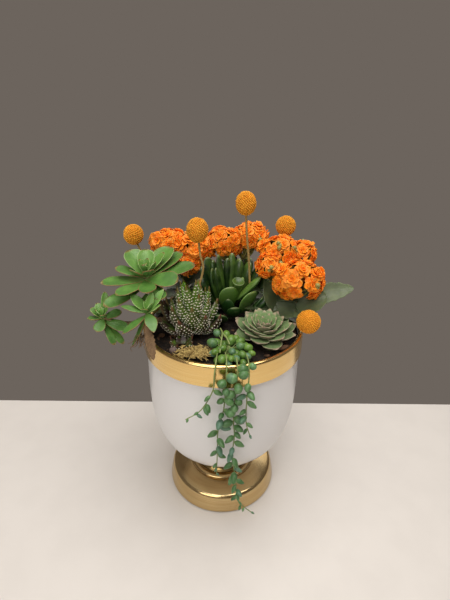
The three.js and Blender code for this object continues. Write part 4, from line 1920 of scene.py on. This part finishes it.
    def leaves(self) -> None:
        """Makes the scalloped leaves on the right and the lower leaves in pairs up each stalk."""
        wide = Blade(
            60,
            27,
            1.8,
            widest=0.5,
            root=0.22,
            round_tip=1.5,
            curl=-6,
            cup=0.3,
            notches=1.0,
            teeth=7,
            stations=48,
            sides=16,
        )
        skin = LeafSkin(
            name="kalanchoe_leaf_skin",
            body="#6f7c56",
            # Near-black deep green: painted shade, which each leaf's tone brings in; the leaves under the
            # flower heads get the most.
            deep="#1b2c16",
            under="#525f40",
            margin="#8d9a72",
            margin_from=0.95,
            margin_share=0.4,
            tip="#5c6a48",
            tip_share=0.3,
            root="#6f8556",
            rough=0.46,
            wax=0.05,
            glow=0.1,
            mottle_mm=14,
            mottle=0.25,
        ).make()
        # The last number of each leaf is its tone: how far it is painted towards the deep green as shade.
        for node, blade, root, bearing, pitch, roll, tone in (
            (
                "kalanchoe_leaf_far_right",
                replace(wide, width=24, length=62),
                (77, 12, 236),
                -4,
                18,
                42,
                0.5,
            ),
            (
                "kalanchoe_leaf_right",
                replace(wide, length=52, width=36, round_tip=1.9, curl=-14, cup=0.45),
                (57, 0, 230),
                -8,
                26,
                46,
                0.75,
            ),
            (
                "kalanchoe_leaf_centre",
                replace(wide, length=44, width=30, curl=-20),
                (44, 16, 262),
                -52,
                -48,
                10,
                0.95,
            ),
            ("kalanchoe_leaf_notch", replace(wide, length=37, width=17), (43, 32, 246), 100, 78, 70, 0.9),
        ):
            shells = Shells()
            blade.add_to(shells, np.array(root, float), turn(bearing, pitch, roll), tone)
            shells.piece(node + "_blade", skin, "leaf", (node,))
        dice = random.Random(12)
        lower = Shells()
        for head in self.heads:
            x, y = inside(head.node, *head.foot)[:2]
            for level in range(8):
                for side in (0, 180):
                    length = 46 - 3.5 * level + dice.uniform(-3, 3)
                    blade = replace(wide, length=length, width=length * 0.58, curl=-24, stations=30)
                    spin = turn(
                        35 + 90 * level + side + dice.uniform(-14, 14), 8 + 8 * level, dice.uniform(-12, 12)
                    )
                    # The lower leaves sit under the heads: their high tone is painted shade.
                    blade.add_to(
                        lower, np.array((x, y, 215 + 5.5 * level)), spin, 0.75 + 0.25 * dice.random()
                    )
        # Three leaves under the right head, at tone 1: fully painted shade.
        front = replace(wide, length=34, width=26, curl=-16, stations=34)
        for root, bearing, pitch, roll in (
            ((46, 0, 232), -20, 8, 30), ((34, 6, 238), -50, -20, 10), ((70, 6, 240), -30, -24, 6)
        ):
            front.add_to(lower, np.array(root, float), turn(bearing, pitch, roll), 1.0)
        lower.piece("kalanchoe_lower_leaves", skin, "leaf")

    def build(self) -> None:
        """Makes the three plants."""
        petal = PetalSkin().make()
        green = LeafSkin(
            "flower_stalk_skin",
            "#b3a55a",
            "#6a7038",
            "#8a9048",
            "#b0a860",
            tip="#d89a3c",
            tip_from=0.85,
            tip_share=0.5,
            rough=0.55,
            glow=0.08,
        ).make()
        for head in self.heads:
            self.head(head, petal, green)
        self.leaves()


# ---------------------------------------------------------------- string of pearls


@dataclass(frozen=True)
class Strand:
    """One string of pearls: its line over the rim and down, where its beads start, and their size."""

    name: str
    line: tuple
    beads: int
    size: float
    first: float
    seed: int


@dataclass
class StringOfPearls:
    """Bead-like leaves on thin stems: a clump on the soil, and strands that hang over the rim."""

    strands: tuple = (
        Strand(
            "pearl_string_long",
            (
                (10, -64, 220),
                (12, -80, 223),
                (12.5, -89.5, 212),
                (10, -90, 168),
                (11.4, -90, 144),
                (10, -90, 118),
                (14, -90, 83),
                (17, -90, 54),
                (32, -90, 35.5),
            ),
            30,
            4.4,
            0.1,
            1,
        ),
        Strand(
            "pearl_string_short",
            (
                (2, -64, 220),
                (3, -80, 223),
                (3, -89.5, 212),
                (1, -90, 176),
                (-4, -90, 150),
                (-4.6, -90, 124),
                (-5.4, -90, 91),
            ),
            17,
            4.2,
            0.16,
            2,
        ),
        Strand(
            "pearl_string_left",
            (
                (-5, -64, 220),
                (-6, -80, 223),
                (-7.5, -89.6, 212),
                (-9, -90, 196),
                (-20, -90, 174),
                (-34, -90, 163),
            ),
            7,
            3.7,
            0.5,
            3,
        ),
        Strand(
            "pearl_string_right",
            (
                (20, -64, 220),
                (22, -80, 223),
                (22.8, -89.5, 212),
                (21.6, -90, 188),
                (22, -90, 160),
                (27, -90, 141),
            ),
            11,
            4.1,
            0.18,
            4,
        ),
    )
    # where each bead of the clump sits, and its radius
    clump_beads: tuple = (
        ((-6, -38, 225), 4.2),
        ((3, -40, 225), 3.8),
        ((-10, -53, 223), 5.0),
        ((7, -50, 224), 5.2),
        ((16, -50, 223), 4.5),
        ((-7, -65, 221), 3.8),
        ((0, -62, 223), 3.6),
        ((8, -66, 222), 3.8),
        ((16, -58, 223), 4.2),
        ((23, -59, 222), 4.2),
        ((-1, -75, 220), 4.8),
        ((7, -77, 222), 3.3),
        ((12, -76, 221), 3.5),
        ((17, -69, 221), 4.3),
        ((22, -70, 220), 3.6),
        ((1, -50, 219), 4.4),
        ((12, -62, 217), 4.6),
        ((3, -70, 217), 4.6),
        ((12, -42, 221), 4.2),
        ((-3, -56, 217), 4.4),
        ((21, -66, 215), 4.0),
        ((8, -57, 216), 4.6),
        ((-6, -46, 219), 4.4),
        ((6, -42, 219), 4.3),
        ((20, -50, 218), 4.2),
        ((-9, -60, 216), 3.9),
        ((5, -78, 217), 3.9),
        ((18, -76, 217), 3.8),
        ((11, -70, 219), 4.0),
        ((-5, -71, 216), 3.8),
        ((26, -64, 219), 3.6),
    )

    def bead(
        self,
        shells: Shells,
        stems: Shells,
        at: np.ndarray,
        out: np.ndarray,
        radius: float,
        slim: float,
        tone: float,
    ) -> None:
        """Adds one bead leaf on its short stalk.

        Args:
            shells: Where the bead goes.
            stems: Where its stalk goes.
            at: The point on the stem that it grows from.
            out: Which way it points.
            radius: Half its length.
            slim: How slender it is, from 0 for a ball to 1 for a drop.
            tone: Its shade.
        """
        middle = at + out * (radius + 0.8)
        wide = radius * (0.96 - 0.22 * slim)
        shells.ball(
            middle,
            (wide, wide * (1 - 0.15 * slim), radius),
            upright_to(out),
            9,
            14,
            0.1 + 0.4 * slim,
            tone=tone,
        )
        stems.tube(np.stack([at, at + out * 0.7, at + out * 1.6]), np.array([0.5, 0.45, 0.45]), 5)

    def hang(self, strand: Strand, skin: bpy.types.Material, stem: bpy.types.Material) -> None:
        """Makes one strand.

        Args:
            strand: Its line and beads.
            skin: The beads' material.
            stem: The stems' material.
        """
        dice = random.Random(strand.seed)
        beads, stems = Shells(), Shells()
        line = spline([tuple(p) for p in strand.line], 120)
        stems.tube(line, np.linspace(0.75, 0.45, 120), 7, tone=0.3, along=0.4)
        for i in range(strand.beads):
            share = strand.first + (1 - strand.first) * (i + dice.uniform(0.1, 0.7)) / strand.beads
            at = np.array([np.interp(share * 119, np.arange(120), line[:, k]) for k in range(3)])
            slim = float(smooth_step(np.array((share - 0.25) / 0.25)))
            taper = 1 - 0.62 * float(smooth_step(np.array((share - 0.66) / 0.34)))
            radius = strand.size * taper * dice.uniform(0.8, 1.15)
            angle = math.radians(i * 137.5 + dice.uniform(-25, 25))
            out = np.array(
                (math.cos(angle), -abs(math.sin(angle)) * 0.6 - 0.15, dice.uniform(-0.8, 0.35) - 0.3 * slim)
            )
            out /= np.linalg.norm(out)
            self.bead(beads, stems, at, out, radius, slim, dice.random())
        beads.piece(strand.name + "_beads", skin, "pearl", (strand.name,))
        stems.piece(strand.name + "_stem", stem, "pearl")

    def clump(self, skin: bpy.types.Material, stem: bpy.types.Material) -> None:
        """Makes the clump of big round beads behind the rim, and the pale stems that join them.

        Args:
            skin: The beads' material.
            stem: The stems' material.
        """
        dice = random.Random(6)
        beads, stems = Shells(), Shells()
        crown = np.array((5.0, -56.0, 221.0))
        stems.tube(spline([(9, -58, 196), (9, -58, 212), tuple(crown)], 16), 1.6, 8, tone=0.5, along=0.4)
        for centre, radius in self.clump_beads:
            middle = np.array(centre, float)
            out = (middle - crown) * (1, 1, 0.3) + (0, 0, 3)
            out /= np.linalg.norm(out)
            shells_at = middle - out * (radius + 0.8)
            self.bead(beads, stems, shells_at, out, radius, dice.uniform(0, 0.3), dice.random())
            arch = (crown + shells_at) / 2 + (0, 0, dice.uniform(-5, 0))
            stems.tube(
                spline([tuple(crown), tuple(arch), tuple(shells_at)], 10), 0.45, 6, tone=0.3, along=0.4
            )
        for line in (
            ((-3, -36, 229), (-1, -46, 230), (-2, -58, 227), (-3, -68, 222)),
            ((-1, -46, 230), (3, -53, 229), (6, -60, 226)),
        ):
            stems.tube(spline(line, 20), 0.75, 7, tone=0.1, along=0.4)
        beads.piece("pearl_clump_beads", skin, "pearl", ("pearl_clump",))
        stems.piece("pearl_clump_stems", stem, "pearl")

    def build(self) -> None:
        """Makes the clump and the strands."""
        skin = LeafSkin(
            name="pearl_skin",
            body="#6e9662",
            deep="#26521c",
            under="#4c8448",
            margin="#6f9f5a",
            margin_share=0.0,
            tip="#4d6a3c",
            tip_from=0.97,
            tip_share=0.5,
            root="#8fb86a",
            root_to=0.3,
            rough=0.38,
            wax=0.15,
            glow=0.1,
            mottle_mm=7,
            aged="#6c9080",
            aged_share=0.7,
        )
        stem = LeafSkin(
            "pearl_stem_skin",
            "#94a060",
            "#5c7440",
            "#7c8c52",
            "#94a060",
            rough=0.55,
            glow=0.08,
            tip="#94a060",
        ).make()
        self.clump(replace(skin, name="pearl_clump_skin", body="#74983f", deep="#2c5420").make(), stem)
        dressed = skin.make()
        for strand in self.strands:
            self.hang(strand, dressed, stem)


# ---------------------------------------------------------------- billy buttons


@dataclass(frozen=True)
class Button:
    """One billy button's bare stalk and shade. Its head's place and size are its CAD node's."""

    stalk: tuple
    shade: float


@dataclass
class BillyButtons:
    """Five dried billy buttons: mustard balls of tiny florets on straw stalks."""

    buttons: tuple = (
        Button(((20.3, 5, 330.5), (22, 5.2, 310), (25, 6, 282), (28, 9, 240), (29, 11, 196)), 0.35),
        Button(
            (
                (-24.5, -5, 306),
                (-23, -5, 292),
                (-20.5, -5, 279),
                (-25, -7, 258),
                (-28, -9, 230),
                (-29, -10, 196),
            ),
            0.7,
        ),
        Button(((-93, 36.4, 290.5), (-84, 37, 268), (-68, 36, 235), (-58, 30, 196)), 0.2),
        Button(((64.5, 50.4, 297.5), (56, 53, 262), (50, 54, 225), (48, 54, 196)), 0.15),
        Button(((80.6, -16, 224.5), (76.5, -6, 221.5), (71, 4, 216), (68, 9, 196)), 0.5),
    )
    florets: int = 430

    def ball(self, index: int, button: Button, skin: bpy.types.Material) -> None:
        """Makes one head: a core studded with tiny domed florets in a spiral.

        Args:
            index: The head's number.
            button: Its sizes.
            skin: Its material.
        """
        dice = random.Random(index)
        shells = Shells()
        node = f"billy_button_head_{index}"
        centre, radii = inside(node), half_size(node)
        shells.ball(centre, tuple(radii * 0.92), np.eye(3), 20, 28, tone=1.0)
        axis = upright_to(np.array(button.stalk[0]) - centre)
        for i in range(self.florets):
            height = 1 - 2 * (i + 0.5) / self.florets
            angle = math.radians(i * GOLDEN_ANGLE)
            flat = math.sqrt(1 - height * height)
            way = axis @ np.array((flat * math.cos(angle), flat * math.sin(angle), height))
            at = centre + way * (radii * 0.945) * dice.uniform(0.99, 1.015)
            size = 0.82 * dice.uniform(0.8, 1.2)
            shells.ball(
                at,
                (size, size, size * 1.1),
                upright_to(way),
                4,
                7,
                tone=dice.random() * 0.7 + button.shade * 0.3,
            )
        shells.piece(f"billy_button_{index}_florets", skin, "button", (node,))

    def build(self) -> None:
        """Makes the five flowers."""
        yellow = DryFibre("billy_button_floret", "#fbb430", "#cc8018", 0.7, 4, 0.1, 0.85).make()
        straw = DryFibre("straw_stalk", "#b89a5e", "#86703c", 0.7, 9, 0.08, 0.75).make()
        for index, button in enumerate(self.buttons, 1):
            self.ball(index, button, yellow)
            stalk = Shells()
            stalk.tube(
                spline([tuple(p) for p in button.stalk], 60),
                np.linspace(1.05, 1.15, 60),
                10,
                tone=0.3 + 0.1 * index,
            )
            stalk.piece(f"billy_button_{index}_stalk", straw, "straw", (f"billy_button_stalk_{index}",))


# ---------------------------------------------------------------- studio


@dataclass
class Studio:
    """The camera, a pale table, and broad soft lamps."""

    eye: tuple[float, float, float] = (0.0, -372.8, 423.6)
    down: float = 25.95
    yaw: float = 0.21
    roll: float = 0.69
    lens: float = 24.0
    table_back: float = 126.5

    def camera(self) -> None:
        """Makes the camera."""
        data = bpy.data.cameras.new("camera")
        data.lens = self.lens
        data.sensor_width = 36.0
        data.clip_start = 0.01
        made = bpy.data.objects.new("camera", data)
        look = Matrix.Rotation(math.radians(-self.yaw), 4, "Z") @ Matrix.Rotation(
            math.radians(90 - self.down), 4, "X"
        )
        made.matrix_world = Matrix.Translation(Vector(self.eye) * MM) @ look @ Matrix.Rotation(
            math.radians(self.roll), 4, "Z"
        )
        bpy.context.scene.collection.objects.link(made)
        bpy.context.scene.camera = made

    def lamp(
        self,
        name: str,
        place: tuple[float, float, float],
        size: float,
        power: float,
        colour: str,
    ) -> None:
        """Makes a square soft lamp aimed at the planting.

        Args:
            name: The lamp's name.
            place: Where it hangs.
            size: Its side.
            power: Its power in watts.
            colour: Its colour.
        """
        data = bpy.data.lights.new(name, "AREA")
        data.size = size * MM
        data.energy = power
        data.color = linear(colour)[:3]
        made = bpy.data.objects.new(name, data)
        made.location = Vector(place) * MM
        aim = Vector((0, 0, 180)) * MM - made.location
        made.rotation_euler = aim.to_track_quat("-Z", "Y").to_euler()
        bpy.context.scene.collection.objects.link(made)

    def table(self) -> None:
        """Makes the pale table top."""
        mesh = bpy.data.meshes.new("table")
        x, front, back, deep = 1600 * MM, -900 * MM, self.table_back * MM, -30 * MM
        points = [
            (-x, front, 0),
            (x, front, 0),
            (x, back, 0),
            (-x, back, 0),
            (-x, front, deep),
            (x, front, deep),
            (x, back, deep),
            (-x, back, deep),
        ]
        mesh.from_pydata(
            points, [], [(0, 1, 2, 3), (7, 6, 5, 4), (0, 4, 5, 1), (1, 5, 6, 2), (2, 6, 7, 3), (3, 7, 4, 0)]
        )
        s = Surface("pale_laminate", Roughness=0.55)
        s.colour(s.blend(s.between(s.noise(40, 4), 0.35, 0.7), "#dfdad4", "#dcd7d1"))
        mesh.materials.append(s.material)
        made = bpy.data.objects.new("table", mesh)
        bpy.context.scene.collection.objects.link(made)

    def build(self) -> None:
        """Makes the whole studio."""
        self.camera()
        self.table()
        world = bpy.data.worlds.new("room")
        bpy.context.scene.world = world
        world.use_nodes = True
        world.node_tree.nodes["Background"].inputs[0].default_value = linear("#6c645d")
        bpy.context.scene.view_settings.view_transform = "Standard"
        world.node_tree.nodes["Background"].inputs[1].default_value = 1.0
        self.lamp("ceiling", (100, -200, 1500), 1200, 20.5, "#fffbf7")
        self.lamp("front", (-500, -1100, 900), 900, 6.5, "#fffbf7")
        self.lamp("back", (300, 1300, 800), 1000, 3.5, "#fffbf7")
        LOG.info("studio ready")


def main() -> None:
    """Builds the arrangement and its studio."""
    logging.basicConfig(level=logging.INFO, format="%(message)s")
    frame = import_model()
    Studio().build()
    Planter().build(frame["nodes"])
    TopDressing().build()
    ZebraHaworthia().build()
    Echeveria().build()
    Aeonium().build()
    FingerJade().build()
    Kalanchoe().build()
    StringOfPearls().build()
    BillyButtons().build()


if __name__ == "__main__":
    main()
